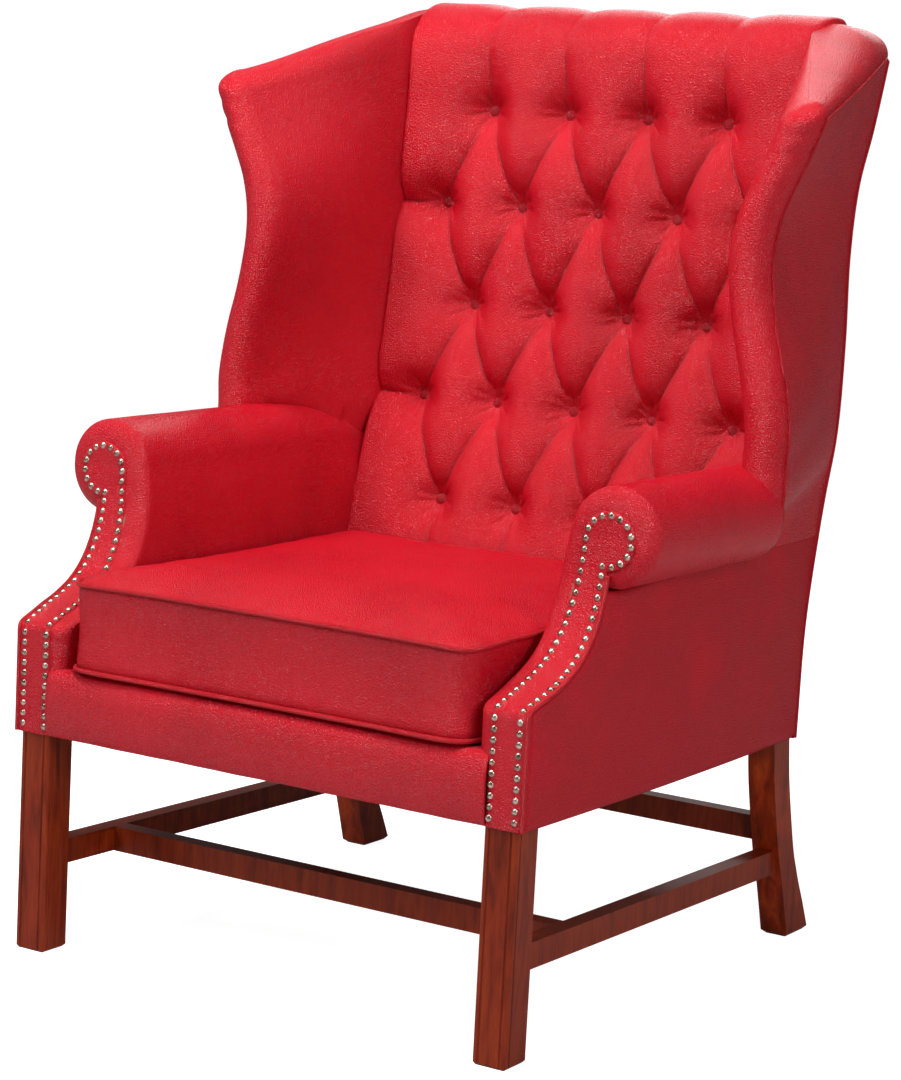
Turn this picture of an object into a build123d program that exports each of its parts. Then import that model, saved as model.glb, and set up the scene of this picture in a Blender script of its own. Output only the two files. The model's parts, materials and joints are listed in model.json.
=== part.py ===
from build123d import *
import math
import os

os.makedirs("parts", exist_ok=True)

# A high-winged fireside chair: a beech frame on mahogany legs, padded and covered in leather,
# with a deep-buttoned back, scroll arms trimmed with dome nails and a loose seat cushion.
# Sizes are in millimetres. Heights are measured from the floor. Depths are measured from the
# front faces of the front legs, and grow towards the back of the chair. The right-hand pieces
# stand on the +X side, and the left-hand ones mirror them.

# Overall
cover_hem_z = 262.0
crest_z = 1121.0
side_x = 350.0
panel_back_y = 650.0
joint_gap = 0.2
soft_gap = 0.3
cut_overrun = 60.0

# Steps along curves
profile_steps = 30
leg_steps = 12
board_steps = 8
straight_steps = 2
solve_steps = 9
nail_search_steps = 400

# Front legs, square with a beaded front edge
leg_size = 42.0
leg_side_inset = 9.0
leg_outer_x = side_x - leg_side_inset
leg_foot_chamfer = 5.0
leg_edge_radius = 4.0
leg_quirk_radius = 1.4
leg_quirk_offset = 7.5

# Back legs, raked backwards and flared at the foot
back_leg_width = 36.0
back_leg_inset = 48.0
back_leg_inner_x = side_x - back_leg_inset
back_leg_setback = 47.0
back_leg_top_y = panel_back_y - back_leg_setback
back_leg_top_depth = 41.0
back_leg_rake = 73.0
back_leg_foot_depth = 58.0

# Stretchers
stretcher_thickness = 22.0
stretcher_height = 30.0
side_stretcher_z = 98.0
side_stretcher_fall = 10.0
cross_stretcher_y = 140.0
rear_stretcher_z = 128.0
rear_stretcher_inset = 9.0
tenon_thickness = 9.0
tenon_height = 20.0
tenon_length = 15.0

# Seat frame
rail_bottom_z = 265.0
rail_height = 52.0
rail_thickness = 26.0
rear_rail_thickness = 26.0
block_leg = 46.0
webbing_thickness = 1.6
webbing_width = 52.0
seat_webbing_count = 5
dust_cover_thickness = 1.2
dust_cover_margin = 10.0

# Sides and arms
side_swell = 4.0
side_tuck = 6.0
panel_thickness = 5.0
arm_side_inset = 66.0
arm_inner_x = side_x - arm_side_inset
arm_wall = 25.0
roll_inset = 1.0
roll_x = side_x - roll_inset
roll_z = 561.0
roll_radius = 56.0
roll_back_setback = 204.0
roll_back_y = panel_back_y - roll_back_setback
arm_ledge = 38.0
facing_thickness = 3.0
facing_setback = 146.0
post_top_z = 391.0
facing_side_inset = 8.5
facing_width = 40.5
facing_outer_x = side_x - facing_side_inset
facing_inner_x = facing_outer_x - facing_width
neck_side_inset = 2.5
neck_width = 33.0
facing_neck_outer_x = side_x - neck_side_inset
facing_neck_inner_x = facing_neck_outer_x - neck_width
scroll_inset = 1.0
scroll_drop = 3.0
facing_scroll_x = roll_x - scroll_inset
facing_scroll_z = roll_z - scroll_drop
facing_scroll_radius = 32.5
arm_post_depth = 46.0
arm_post_thickness = 26.0
arm_rail_z = 512.0
arm_rail_height = 32.0

# Dome nails
nail_pitch = 11.9
nail_radius = 3.9
nail_height = 2.4
nail_margin = 4.4
nail_first_z = 272.0

# Front border
border_clearance = 1.0
border_half_width = facing_inner_x - border_clearance
border_bulge = 10.0
border_edge = 4.0
border_top_z = 341.0
border_wrap = 27.0

# Seat deck and loose cushion
deck_top_z = 343.0
deck_clearance = 3.0
deck_half_width = arm_inner_x - deck_clearance
deck_setback = 90.0
deck_back_y = panel_back_y - deck_setback
cushion_side_clearance = 14.0
cushion_half_width = arm_inner_x - cushion_side_clearance
cushion_front_y = -2.0
cushion_back_clearance = 8.0
cushion_back_y = deck_back_y - cushion_back_clearance
cushion_edge_height = 102.0
cushion_crown = 27.0
cushion_swell = 3.0
cushion_draw = 4.0
cushion_corner_radius = 30.0
cushion_hide = 2.4
cushion_piping_radius = 3.0

# Back
back_half_width = arm_inner_x
back_post_inset = 12.0
back_post_inner_x = back_leg_inner_x - back_post_inset
back_post_width = 30.0
back_post_depth = 26.0
seam_drop = 33.0
back_seam_z = crest_z - seam_drop
back_post_drop = 28.0
back_post_top_z = back_seam_z - back_post_drop
top_rail_height = 50.0
stuffing_rail_z = 346.0
stuffing_rail_height = 48.0
crest_lean = 95.0
back_crest_y = panel_back_y + crest_lean
crest_start_drop = 46.0
back_crest_start_z = crest_z - crest_start_drop
back_webbing_count = 6
button_rows = 5
button_top_drop = 120.0
button_top_z = crest_z - button_top_drop
button_low_z = 500.0
button_row_pitch = (button_top_z - button_low_z) / (button_rows - 1)
button_side_margin = 56.6
button_pitch = (back_half_width - button_side_margin) / 2
button_radius = 7.5
button_height = 4.5
tuft_height = 32.0
tuft_sink = 9.0
tuft_bottom_z = 405.0
tuft_edge = 4.0

# Wings
wing_setback = 230.0
wing_front_y = panel_back_y - wing_setback
wing_radius = 28.0
wing_bottom_z = 522.0
wing_top_drop = 85.0
wing_top_z = crest_z - wing_top_drop
wing_corner_drop = 33.0
wing_corner_z = wing_top_z - wing_corner_drop
wing_top_lean = 13.5
wing_flare = 70.0
wing_tuck = 26.0
wing_low_z = 440.0
wing_back_clearance = 1.5
wing_inner_x = arm_inner_x + wing_back_clearance
wing_skin_thickness = 2.0
wing_post_thickness = 20.0
wing_post_depth = 32.0
wing_post_inset = 16.0
wing_post_foot_x = roll_x - wing_post_inset
wing_post_drop = 18.0
wing_post_top_z = wing_corner_z - wing_post_drop
wing_rail_height = 30.0
wing_rail_drop = 1.0
wing_rail_back_z = wing_top_z - wing_rail_drop

# Shares chosen by hand, each of the size named in the function that reads it.
# Height up the back, and how far its outside has leant by there, of back_lean.
back_lean = 141.0
back_lean_shares = [(0.0, 0.0), (0.17, 0.03), (0.31, 0.18), (0.46, 0.39), (0.61, 0.57), (0.82, 0.79),
                    (1.0, 1.0)]
# Height up the inside of the back, and how far the buttons' seats have leant by there, of tuft_lean.
tuft_setback = 66.0
tuft_base_y = panel_back_y - tuft_setback
tuft_lean = 128.0
tuft_lean_shares = [(0.0, 0.0), (0.2, 0.281), (0.367, 0.555), (0.524, 0.734), (0.69, 0.828),
                    (0.846, 0.922), (1.0, 0.97)]
# Height up the wing's front edge, and how far it stands out from the side, of wing_flare.
wing_edge_shares = [(0.0, 0.1), (0.04, 0.5), (0.08, 0.7), (0.14, 0.75), (0.235, 0.72), (0.34, 0.65),
                    (0.46, 0.49), (0.57, 0.33), (0.683, 0.23), (0.79, 0.33), (0.86, 0.52),
                    (0.93, 0.77), (1.0, 1.0)]
# The same height, and how far the wing's rear corner stands in from the side, of wing_tuck.
wing_tuck_shares = [(0.0, 0.23), (0.235, 0.18), (0.46, 0.5), (0.683, 0.92), (0.86, 0.98), (1.0, 0.7),
                    (1.2, 0.42)]
# Heights of the wing's sections, from its lowest to the start of its rolled top.
wing_height_shares = [0.0, 0.12, 0.2, 0.28, 0.36, 0.45, 0.54, 0.63, 0.72, 0.8, 0.88, 0.94, 1.0]
# Turns of the wing's rolled top, of a quarter circle.
wing_roll_shares = [0.2, 0.4, 0.6, 0.8, 0.92]
# Depth and height along the sweep from the post's top to the scroll.
sweep_shares = [(0.0, 0.0), (0.18, 0.045), (0.46, 0.14), (0.65, 0.235), (0.79, 0.355), (0.90, 0.52),
                (0.97, 0.72), (1.0, 1.0)]
# Directions of the sweep at its two ends, in depth and height.
sweep_directions = [(1, 0.25), (0, 1)]
# Directions of the back's crest at its top and at its rear seam, in depth and height.
crest_direction = (1, 0)
seam_direction = (0.6, -1)
# Rise and spread of each level of a tuft, of its height and of its outline.
tuft_level_shares = [(0.0, 1.0), (0.5, 0.86), (0.86, 0.6), (1.0, 0.32)]
# Rise and spread of each level of the cushion's crown, of cushion_crown and of its outline.
crown_shares = [(0.22, 0.975), (0.45, 0.92), (0.68, 0.81), (0.86, 0.64), (0.96, 0.45), (1.0, 0.25)]

# Where depths start, so that the chair stands centred on its origin
front = -(panel_back_y + back_lean - border_bulge) / 2


def along(shares, share):
    """The value at a share of the way up a table, by a smooth line through its points."""
    low = 0
    while low < len(shares) - 2 and share > shares[low + 1][0]:
        low += 1
    (x0, y0), (x1, y1) = shares[low], shares[low + 1]
    before = shares[max(low - 1, 0)]
    after = shares[min(low + 2, len(shares) - 1)]
    slope0 = (y1 - before[1]) / (x1 - before[0])
    slope1 = (after[1] - y0) / (after[0] - x0)
    width = x1 - x0
    t = min(max((share - x0) / width, 0.0), 1.0)
    return ((2 * t**3 - 3 * t**2 + 1) * y0 + (t**3 - 2 * t**2 + t) * width * slope0
            + (3 * t**2 - 2 * t**3) * y1 + (t**3 - t**2) * width * slope1)


def outside_y(z):
    """Depth of the back's outside at a height."""
    share = (z - cover_hem_z) / (back_seam_z - cover_hem_z)
    return front + panel_back_y + back_lean * along(back_lean_shares, share)


def post_front_y(z):
    """Depth of the back posts' front faces at a height."""
    return outside_y(z) - panel_thickness - joint_gap - back_post_depth


def post_back_y(z):
    return outside_y(z) - panel_thickness - joint_gap


def webbing_front_y(z):
    return post_front_y(z) - joint_gap - webbing_thickness


def button_y(z):
    """Depth of the buttons' seats at a height."""
    share = (z - deck_top_z) / (crest_z - deck_top_z)
    return front + tuft_base_y + tuft_lean * along(tuft_lean_shares, share)


def wing_share(z):
    return (z - wing_bottom_z) / (wing_corner_z - wing_bottom_z)


def wing_edge_x(z):
    """How far out the wing's front edge stands at a height."""
    return side_x + wing_flare * along(wing_edge_shares, wing_share(z))


def wing_corner_x(z):
    """How far out the wing's rear corner stands at a height."""
    return side_x - wing_tuck * along(wing_tuck_shares, wing_share(z))


def sweep_points(shift):
    """Depths and heights along the arm's swept front, moved forward and up by shift."""
    rise = roll_z - post_top_z
    return [(front + facing_setback * u - shift, post_top_z + rise * v + shift) for u, v in sweep_shares]


def heights_between(low_z, high_z, steps):
    return [low_z + (high_z - low_z) * i / steps for i in range(steps + 1)]


def band(near, far, low_z, high_z, steps=profile_steps):
    """Corners of an upright band between two depth functions, in depth and height."""
    heights = heights_between(low_z, high_z, steps)
    return [(near(z), z) for z in heights] + [(far(z), z) for z in reversed(heights)]


def write(part, name):
    part.label = name
    export_step(part, "parts/" + name + ".step")


def write_pair(part, name):
    """Writes the right-hand piece, and its mirror image for the left."""
    write(part, name + "_right")
    write(mirror(part, about=Plane.YZ), name + "_left")


def upright_board(corners, low_x, high_x):
    """A board with an outline in depth and height, between two places across the chair."""
    with BuildPart() as board:
        with BuildSketch(Plane.YZ.offset(low_x)):
            Polygon(*corners, align=None)
        extrude(amount=high_x - low_x)
    return board.part


def dome_shape(radius, height):
    """A low dome on its flat face, pointing up."""
    sphere_radius = (radius**2 + height**2) / (2 * height)
    with BuildPart() as dome:
        with Locations((0, 0, height - sphere_radius)):
            Sphere(sphere_radius)
        split(bisect_by=Plane.XY, keep=Keep.TOP)
    return dome.part


# Front legs
leg_mid_x = leg_outer_x - leg_size / 2
leg_mid_y = front + leg_size / 2
leg_top_z = rail_bottom_z + rail_height
leg_inner_x = leg_outer_x - leg_size
side_tenon_z = side_stretcher_z + stretcher_height / 2
mortise_width = tenon_thickness + 2 * joint_gap
mortise_height = tenon_height + 2 * joint_gap

with BuildPart() as front_leg:
    with BuildSketch() as leg_section:
        with Locations((leg_mid_x, leg_mid_y)):
            Rectangle(leg_size, leg_size)
        fillet(leg_section.vertices().group_by(Axis.Y)[0], leg_edge_radius)
    extrude(amount=leg_top_z)
    chamfer(front_leg.faces().sort_by(Axis.Z)[0].edges(), leg_foot_chamfer - leg_edge_radius / 2)
    with BuildSketch():
        quirk_x = leg_size / 2 - leg_quirk_offset
        with Locations((leg_mid_x - quirk_x, front), (leg_mid_x + quirk_x, front),
                       (leg_inner_x, front + leg_quirk_offset), (leg_outer_x, front + leg_quirk_offset)):
            Circle(leg_quirk_radius)
    extrude(amount=leg_top_z, mode=Mode.SUBTRACT)
    with BuildSketch(Plane.XZ.offset(-(front + leg_size))):
        with Locations((leg_mid_x, side_tenon_z)):
            Rectangle(mortise_width, mortise_height)
    extrude(amount=tenon_length + joint_gap, mode=Mode.SUBTRACT)
write_pair(front_leg.part, "front_leg")

# Back legs, each with its stump in the seat frame
leg_front_shares = [(0.0, 1.0), (0.30, 0.65), (0.42, 0.48), (0.56, 0.33), (0.80, 0.11), (1.0, 0.0)]
leg_depth_shares = [(0.0, 1.0), (0.14, 0.62), (0.30, 0.12), (0.50, 0.0), (1.0, 0.0)]


def back_leg_front_y(z):
    return front + back_leg_top_y + back_leg_rake * along(leg_front_shares, z / cover_hem_z)


def back_leg_back_y(z):
    flare = (back_leg_foot_depth - back_leg_top_depth) * along(leg_depth_shares, z / cover_hem_z)
    return back_leg_front_y(z) + back_leg_top_depth + flare


side_mortise_z = side_tenon_z - side_stretcher_fall
rear_tenon_z = rear_stretcher_z + stretcher_height / 2
rear_tenon_y = back_leg_front_y(rear_tenon_z) + rear_stretcher_inset + stretcher_thickness / 2
with BuildPart() as back_leg:
    with BuildSketch(Plane.YZ.offset(back_leg_inner_x)):
        with BuildLine():
            leg_heights = heights_between(0, cover_hem_z, leg_steps)
            front_edge = Spline([(back_leg_front_y(z), z) for z in leg_heights])
            rear_edge = Spline([(back_leg_back_y(z), z) for z in leg_heights])
            Polyline(front_edge @ 1, (back_leg_front_y(cover_hem_z), leg_top_z),
                     (back_leg_back_y(cover_hem_z), leg_top_z), rear_edge @ 1)
            Line(rear_edge @ 0, front_edge @ 0)
        make_face()
    extrude(amount=back_leg_width)
    chamfer(back_leg.faces().sort_by(Axis.Z)[0].edges(), leg_foot_chamfer)
    with BuildSketch(Plane.XZ.offset(-(back_leg_front_y(side_mortise_z) + tenon_length))):
        with Locations((leg_mid_x, side_mortise_z)):
            Rectangle(mortise_width, mortise_height)
    extrude(amount=tenon_length + leg_size, mode=Mode.SUBTRACT)
    with BuildSketch(Plane.YZ.offset(back_leg_inner_x)):
        with Locations((rear_tenon_y, rear_tenon_z)):
            Rectangle(mortise_width, mortise_height)
    extrude(amount=tenon_length + joint_gap, mode=Mode.SUBTRACT)
write_pair(back_leg.part, "back_leg")

# Stretchers. The side ones fall a little towards the back legs.
side_front_y = front + leg_size
side_back_y = back_leg_front_y(side_mortise_z)
side_inner_x = leg_mid_x - stretcher_thickness / 2
cross_y = front + cross_stretcher_y + stretcher_thickness / 2
cross_z = side_tenon_z - side_stretcher_fall * (cross_y - side_front_y) / (side_back_y - side_front_y)
side_low_z = side_stretcher_z - side_stretcher_fall
side_high_z = side_low_z + stretcher_height
with BuildPart() as side_stretcher:
    with BuildSketch(Plane.YZ.offset(side_inner_x)):
        Polygon((side_front_y, side_stretcher_z), (side_front_y, side_stretcher_z + stretcher_height),
                (back_leg_front_y(side_high_z) + tenon_thickness, side_high_z),
                (back_leg_front_y(side_low_z) + tenon_thickness, side_low_z), align=None)
    extrude(amount=stretcher_thickness)
    add(back_leg.part, mode=Mode.SUBTRACT)
    with BuildSketch(Plane.XZ.offset(-side_front_y)):
        with Locations((leg_mid_x, side_tenon_z)):
            Rectangle(tenon_thickness, tenon_height)
    extrude(amount=tenon_length)
    with BuildSketch(Plane.XZ.offset(-(side_back_y + tenon_length - joint_gap))):
        with Locations((leg_mid_x, side_mortise_z)):
            Rectangle(tenon_thickness, tenon_height)
    extrude(amount=2 * tenon_length)
    with BuildSketch(Plane.YZ.offset(side_inner_x)):
        with Locations((cross_y, cross_z)):
            Rectangle(mortise_width, mortise_height)
    extrude(amount=tenon_thickness + joint_gap, mode=Mode.SUBTRACT)
write_pair(side_stretcher.part, "side_stretcher")

with BuildPart() as cross_stretcher:
    with Locations((0, cross_y, cross_z)):
        Box(2 * side_inner_x, stretcher_thickness, stretcher_height)
        Box(2 * (side_inner_x + tenon_thickness), tenon_thickness, tenon_height)
write(cross_stretcher.part, "cross_stretcher")

with BuildPart() as rear_stretcher:
    with Locations((0, rear_tenon_y, rear_tenon_z)):
        Box(2 * back_leg_inner_x, stretcher_thickness, stretcher_height)
        Box(2 * (back_leg_inner_x + tenon_length), tenon_thickness, tenon_height)
write(rear_stretcher.part, "rear_stretcher")

# Seat frame rails between the legs
rail_mid_z = rail_bottom_z + rail_height / 2
rear_rail_y = front + back_leg_top_y + rear_rail_thickness / 2
side_rail_length = back_leg_top_y - leg_size
side_rail_mid_y = front + leg_size + side_rail_length / 2
side_rail_inner_x = leg_outer_x - rail_thickness
with BuildPart() as front_rail:
    with Locations((0, front + rail_thickness / 2, rail_mid_z)):
        Box(2 * leg_inner_x, rail_thickness, rail_height)
write(front_rail.part, "front_rail")

with BuildPart() as rear_rail:
    with Locations((0, rear_rail_y, rail_mid_z)):
        Box(2 * back_leg_inner_x, rear_rail_thickness, rail_height)
write(rear_rail.part, "rear_rail")

with BuildPart() as side_rail:
    with Locations((leg_outer_x - rail_thickness / 2, side_rail_mid_y, rail_mid_z)):
        Box(rail_thickness, side_rail_length, rail_height)
write_pair(side_rail.part, "side_rail")

# Corner blocks, glued into the four inner corners of the seat frame
block_front_y = front + leg_size
block_back_y = front + back_leg_top_y
with BuildPart() as corner_blocks:
    with BuildSketch(Plane.XY.offset(rail_bottom_z)):
        for side in (-1, 1):
            corner_x = side * side_rail_inner_x
            Polygon((corner_x, block_front_y), (corner_x - side * block_leg, block_front_y),
                    (corner_x, block_front_y + block_leg), align=None)
            Polygon((corner_x, block_back_y), (corner_x - side * block_leg, block_back_y),
                    (corner_x, block_back_y - block_leg), align=None)
    extrude(amount=rail_height)
write(corner_blocks.part, "corner_blocks")

# Webbing across the seat frame, and the deck that the cushion lies on
arm_post_inner_x = arm_inner_x + arm_wall + joint_gap
arm_post_outer_x = arm_post_inner_x + arm_post_thickness
long_length = back_leg_top_y + rear_rail_thickness
with BuildPart() as seat_webbing:
    with Locations((0, front + long_length / 2, leg_top_z + webbing_thickness / 2)):
        with GridLocations(2 * leg_inner_x / seat_webbing_count, 0, seat_webbing_count, 1):
            Box(webbing_width, long_length, webbing_thickness)
    with Locations((0, side_rail_mid_y, leg_top_z + webbing_thickness * 3 / 2)):
        with GridLocations(0, side_rail_length / seat_webbing_count, 1, seat_webbing_count):
            Box(2 * (side_rail_inner_x + rail_thickness / 2), webbing_width, webbing_thickness)
write(seat_webbing.part, "seat_webbing")

deck_bottom_z = leg_top_z + 2 * webbing_thickness
with BuildPart() as seat_deck:
    with Locations((0, front + (border_wrap + deck_back_y) / 2, (deck_bottom_z + deck_top_z) / 2)):
        Box(2 * deck_half_width, deck_back_y - border_wrap, deck_top_z - deck_bottom_z)
write(seat_deck.part, "seat_deck")

with BuildPart() as dust_cover:
    with Locations((0, side_rail_mid_y, rail_bottom_z - dust_cover_thickness / 2)):
        Box(2 * (side_rail_inner_x + dust_cover_margin), side_rail_length - dust_cover_margin,
            dust_cover_thickness)
write(dust_cover.part, "dust_cover")

# Front border: padding and leather over the front rail, between the two arm facings
border_mid_z = (cover_hem_z + border_top_z) / 2
with BuildPart() as front_border:
    with BuildSketch(Plane.YZ.offset(-border_half_width)):
        with BuildLine():
            hem = Line((front, cover_hem_z), (front - border_edge, cover_hem_z))
            belly = ThreePointArc(hem @ 1, (front - border_bulge, border_mid_z),
                                  (front - border_edge / 2, border_top_z - border_edge))
            shoulder = ThreePointArc(belly @ 1, (front + border_edge / 2, border_top_z - border_edge / 3),
                                     (front + 2 * border_edge, border_top_z))
            Polyline(shoulder @ 1, (front + border_wrap - joint_gap, border_top_z),
                     (front + border_wrap - joint_gap, deck_bottom_z), (front, deck_bottom_z), hem @ 0)
        make_face()
    extrude(amount=2 * border_half_width)
    with Locations((arm_inner_x - joint_gap, front, 0)):
        Box(roll_x, border_wrap, crest_z, align=(Align.MIN, Align.MIN, Align.MIN), mode=Mode.SUBTRACT)
    with Locations((joint_gap - arm_inner_x, front, 0)):
        Box(roll_x, border_wrap, crest_z, align=(Align.MAX, Align.MIN, Align.MIN), mode=Mode.SUBTRACT)
write(front_border.part, "front_border")


# Arms. Their swept front is a cut through the padding, the outside and the frame alike.
def front_cutter(shift):
    """Everything in front of the arm's swept face, moved forward and up by shift."""
    with BuildPart() as cutter:
        with BuildSketch(Plane.YZ.offset(arm_inner_x - cut_overrun)):
            with BuildLine():
                sweep = Spline(sweep_points(shift), tangents=sweep_directions)
                top_z = roll_z + roll_radius + cut_overrun
                Polyline(sweep @ 1, (front + facing_setback - shift, top_z), (front - cut_overrun, top_z),
                         (front - cut_overrun, -cut_overrun), (front - shift, -cut_overrun), sweep @ 0)
            make_face()
        extrude(amount=roll_x + roll_radius - arm_inner_x + 2 * cut_overrun)
    return cutter.part


swept_cut = front_cutter(0)
facing_cut = front_cutter(facing_thickness)

# Inside arm: its padded wall and rolled top, open below for the frame
rail_channel_z = arm_rail_z + arm_rail_height + joint_gap
wall_x = arm_inner_x + arm_wall
channel_x = side_x - panel_thickness
roll_bottom_z = roll_z - roll_radius
arm_back_y = outside_y(roll_z)
back_cut = upright_board(band(lambda z: webbing_front_y(z) - joint_gap, lambda z: outside_y(z) + cut_overrun,
                              deck_bottom_z - cut_overrun, crest_z), arm_inner_x - cut_overrun, side_x)
with BuildPart() as arm_pad:
    with BuildSketch(Plane.XZ.offset(-front)):
        with BuildLine():
            wall = Line((arm_inner_x, deck_bottom_z), (arm_inner_x, roll_bottom_z))
            swell = Spline(wall @ 1, (roll_x - roll_radius, roll_z), tangents=[(0, 1), (0, 1)])
            crown = ThreePointArc(swell @ 1, (roll_x, roll_z + roll_radius), (roll_x + roll_radius, roll_z))
            slant = roll_radius * math.sqrt(0.5)
            under = ThreePointArc(crown @ 1, (roll_x + slant, roll_z - slant), (roll_x, roll_bottom_z))
            Polyline(under @ 1, (channel_x, roll_bottom_z), (channel_x, rail_channel_z),
                     (wall_x, rail_channel_z), (wall_x, deck_bottom_z), wall @ 0)
        make_face()
    extrude(amount=-(arm_back_y - front))
    add(swept_cut, mode=Mode.SUBTRACT)
    with Locations((arm_inner_x + arm_ledge, front + roll_back_y, 0)):
        Box(roll_x, arm_back_y, crest_z, align=(Align.MIN, Align.MIN, Align.MIN), mode=Mode.SUBTRACT)
    add(back_cut, mode=Mode.SUBTRACT)
write_pair(arm_pad.part, "arm_pad")

# Arm facing: the leather face that runs up the post, sweeps back and curls round the scroll
with BuildPart() as arm_facing:
    with BuildSketch(Plane.XZ.offset(-(front - border_bulge))):
        Polygon((facing_inner_x, cover_hem_z), (facing_outer_x, cover_hem_z), (facing_outer_x, post_top_z),
                (facing_neck_outer_x, post_top_z + 2 * facing_thickness),
                (facing_neck_outer_x, facing_scroll_z),
                (facing_neck_inner_x, facing_scroll_z - facing_scroll_radius / 2),
                (facing_inner_x, post_top_z), align=None)
        with Locations((facing_scroll_x, facing_scroll_z)):
            Circle(facing_scroll_radius)
    extrude(amount=-(facing_setback + border_bulge))
    add(facing_cut, mode=Mode.SUBTRACT)
    add(swept_cut, mode=Mode.INTERSECT)
write_pair(arm_facing.part, "arm_facing")

# Arm frame: the shaped front post, standing on the leg, and the rail behind it
arm_post_top_z = arm_rail_z + arm_rail_height
post_back = [(y + arm_post_depth, z - arm_post_depth) for y, z in sweep_points(0)]
with BuildPart() as arm_post:
    with BuildSketch(Plane.YZ.offset(arm_post_inner_x)):
        Polygon((front, leg_top_z), (front, arm_post_top_z),
                (front + facing_setback + arm_post_depth, arm_post_top_z),
                *post_back[-2::-1], (front + arm_post_depth, leg_top_z), align=None)
    extrude(amount=arm_post_thickness)
    add(front_cutter(-joint_gap), mode=Mode.SUBTRACT)
write_pair(arm_post.part, "arm_post")

arm_rail_front_y = front + facing_setback + arm_post_depth
arm_rail_corners = [(arm_rail_front_y, arm_rail_z), (arm_rail_front_y, arm_post_top_z),
                    (post_front_y(arm_post_top_z) - joint_gap, arm_post_top_z),
                    (post_front_y(arm_rail_z) - joint_gap, arm_rail_z)]
arm_rail = upright_board(arm_rail_corners, arm_post_inner_x, arm_post_outer_x)
write_pair(arm_rail, "arm_rail")

# Dome nails round the edge of each arm facing, in one line from hem to hem
nail_inset_x = facing_inner_x + nail_margin
nail_outset_x = facing_outer_x - nail_margin
neck_inset_x = facing_neck_inner_x + nail_margin
neck_outset_x = facing_neck_outer_x - nail_margin
scroll_nail_radius = facing_scroll_radius - nail_margin
sweep_line = Spline(sweep_points(facing_thickness), tangents=sweep_directions)


def sweep_plane(x, length):
    """A plane just off the swept face, at a length along its sweep."""
    place = sweep_line.position_at(length, position_mode=PositionMode.LENGTH)
    run = sweep_line.tangent_at(length, position_mode=PositionMode.LENGTH)
    return Plane((x, place.X, place.Y), x_dir=(1, 0, 0), z_dir=(0, -run.Y, run.X)).offset(soft_gap)


def sweep_length_to(z):
    """Length along the facing's sweep, from its start up to a height."""
    for i in range(nail_search_steps + 1):
        length = sweep_line.length * i / nail_search_steps
        if sweep_line.position_at(length, position_mode=PositionMode.LENGTH).Y >= z:
            break
    return length


def sweep_nails(near_x, far_x, top_z):
    """Nail places along one edge of the swept face, from the post's top up to a height."""
    end = sweep_length_to(top_z)
    count = round(end / nail_pitch)
    return [sweep_plane(near_x + (far_x - near_x) * i / count, end * i / count) for i in range(1, count + 1)]


def front_plane(x, y, z):
    return Plane((x, y, z), x_dir=(1, 0, 0), z_dir=(0, -1, 0))


def facing_plane(x, z):
    return sweep_plane(x, sweep_length_to(z))


post_nail_count = int((post_top_z - nail_first_z) / nail_pitch)
nail_places = []
for i in range(post_nail_count + 1):
    for x in (nail_inset_x, nail_outset_x):
        nail_places.append(front_plane(x, front - facing_thickness, nail_first_z + i * nail_pitch))
scroll_start = math.asin((neck_outset_x - facing_scroll_x) / scroll_nail_radius)
scroll_end = 3 / 2 * math.pi
scroll_low_z = facing_scroll_z - scroll_nail_radius * math.cos(scroll_start)
nail_places += sweep_nails(nail_inset_x, neck_inset_x, facing_scroll_z - nail_pitch)
nail_places += sweep_nails(nail_outset_x, neck_outset_x, scroll_low_z - nail_pitch)
scroll_nail_count = round((scroll_end - scroll_start) * scroll_nail_radius / nail_pitch)
for i in range(scroll_nail_count + 1):
    turn = scroll_start + (scroll_end - scroll_start) * i / scroll_nail_count
    x = facing_scroll_x + scroll_nail_radius * math.sin(turn)
    z = facing_scroll_z - scroll_nail_radius * math.cos(turn)
    straight = front_plane(x, front + facing_setback - facing_thickness, z)
    nail_places.append(facing_plane(x, z) if z < roll_z else straight)

nail = dome_shape(nail_radius, nail_height)
with BuildPart() as facing_nails:
    with Locations(*nail_places):
        add(nail)
write_pair(facing_nails.part, "facing_nails")

# Outside arm: the flat leather side below the roll, swept like the facing at its front
side_panel_top_z = roll_bottom_z - joint_gap
side_end_y = outside_y(side_panel_top_z)
panel_end_band = band(post_back_y, lambda z: side_end_y + cut_overrun, cover_hem_z, side_panel_top_z)
back_panel_cut = upright_board(panel_end_band, arm_inner_x, side_x + cut_overrun)
with BuildPart() as outside_arm:
    with BuildSketch(Plane.XY.offset(cover_hem_z)):
        with BuildLine():
            side_mid_y = front + panel_back_y / 2
            outer = ThreePointArc((side_x, front), (side_x + side_swell, side_mid_y),
                                  (side_x - side_tuck, side_end_y))
            inner = ThreePointArc((side_x - side_tuck - panel_thickness, side_end_y),
                                  (side_x + side_swell - panel_thickness, side_mid_y), (channel_x, front))
            Line(outer @ 1, inner @ 0)
            Line(inner @ 1, outer @ 0)
        make_face()
    extrude(amount=side_panel_top_z - cover_hem_z)
    add(swept_cut, mode=Mode.SUBTRACT)
    add(back_panel_cut, mode=Mode.SUBTRACT)
write_pair(outside_arm.part, "outside_arm")

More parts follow.
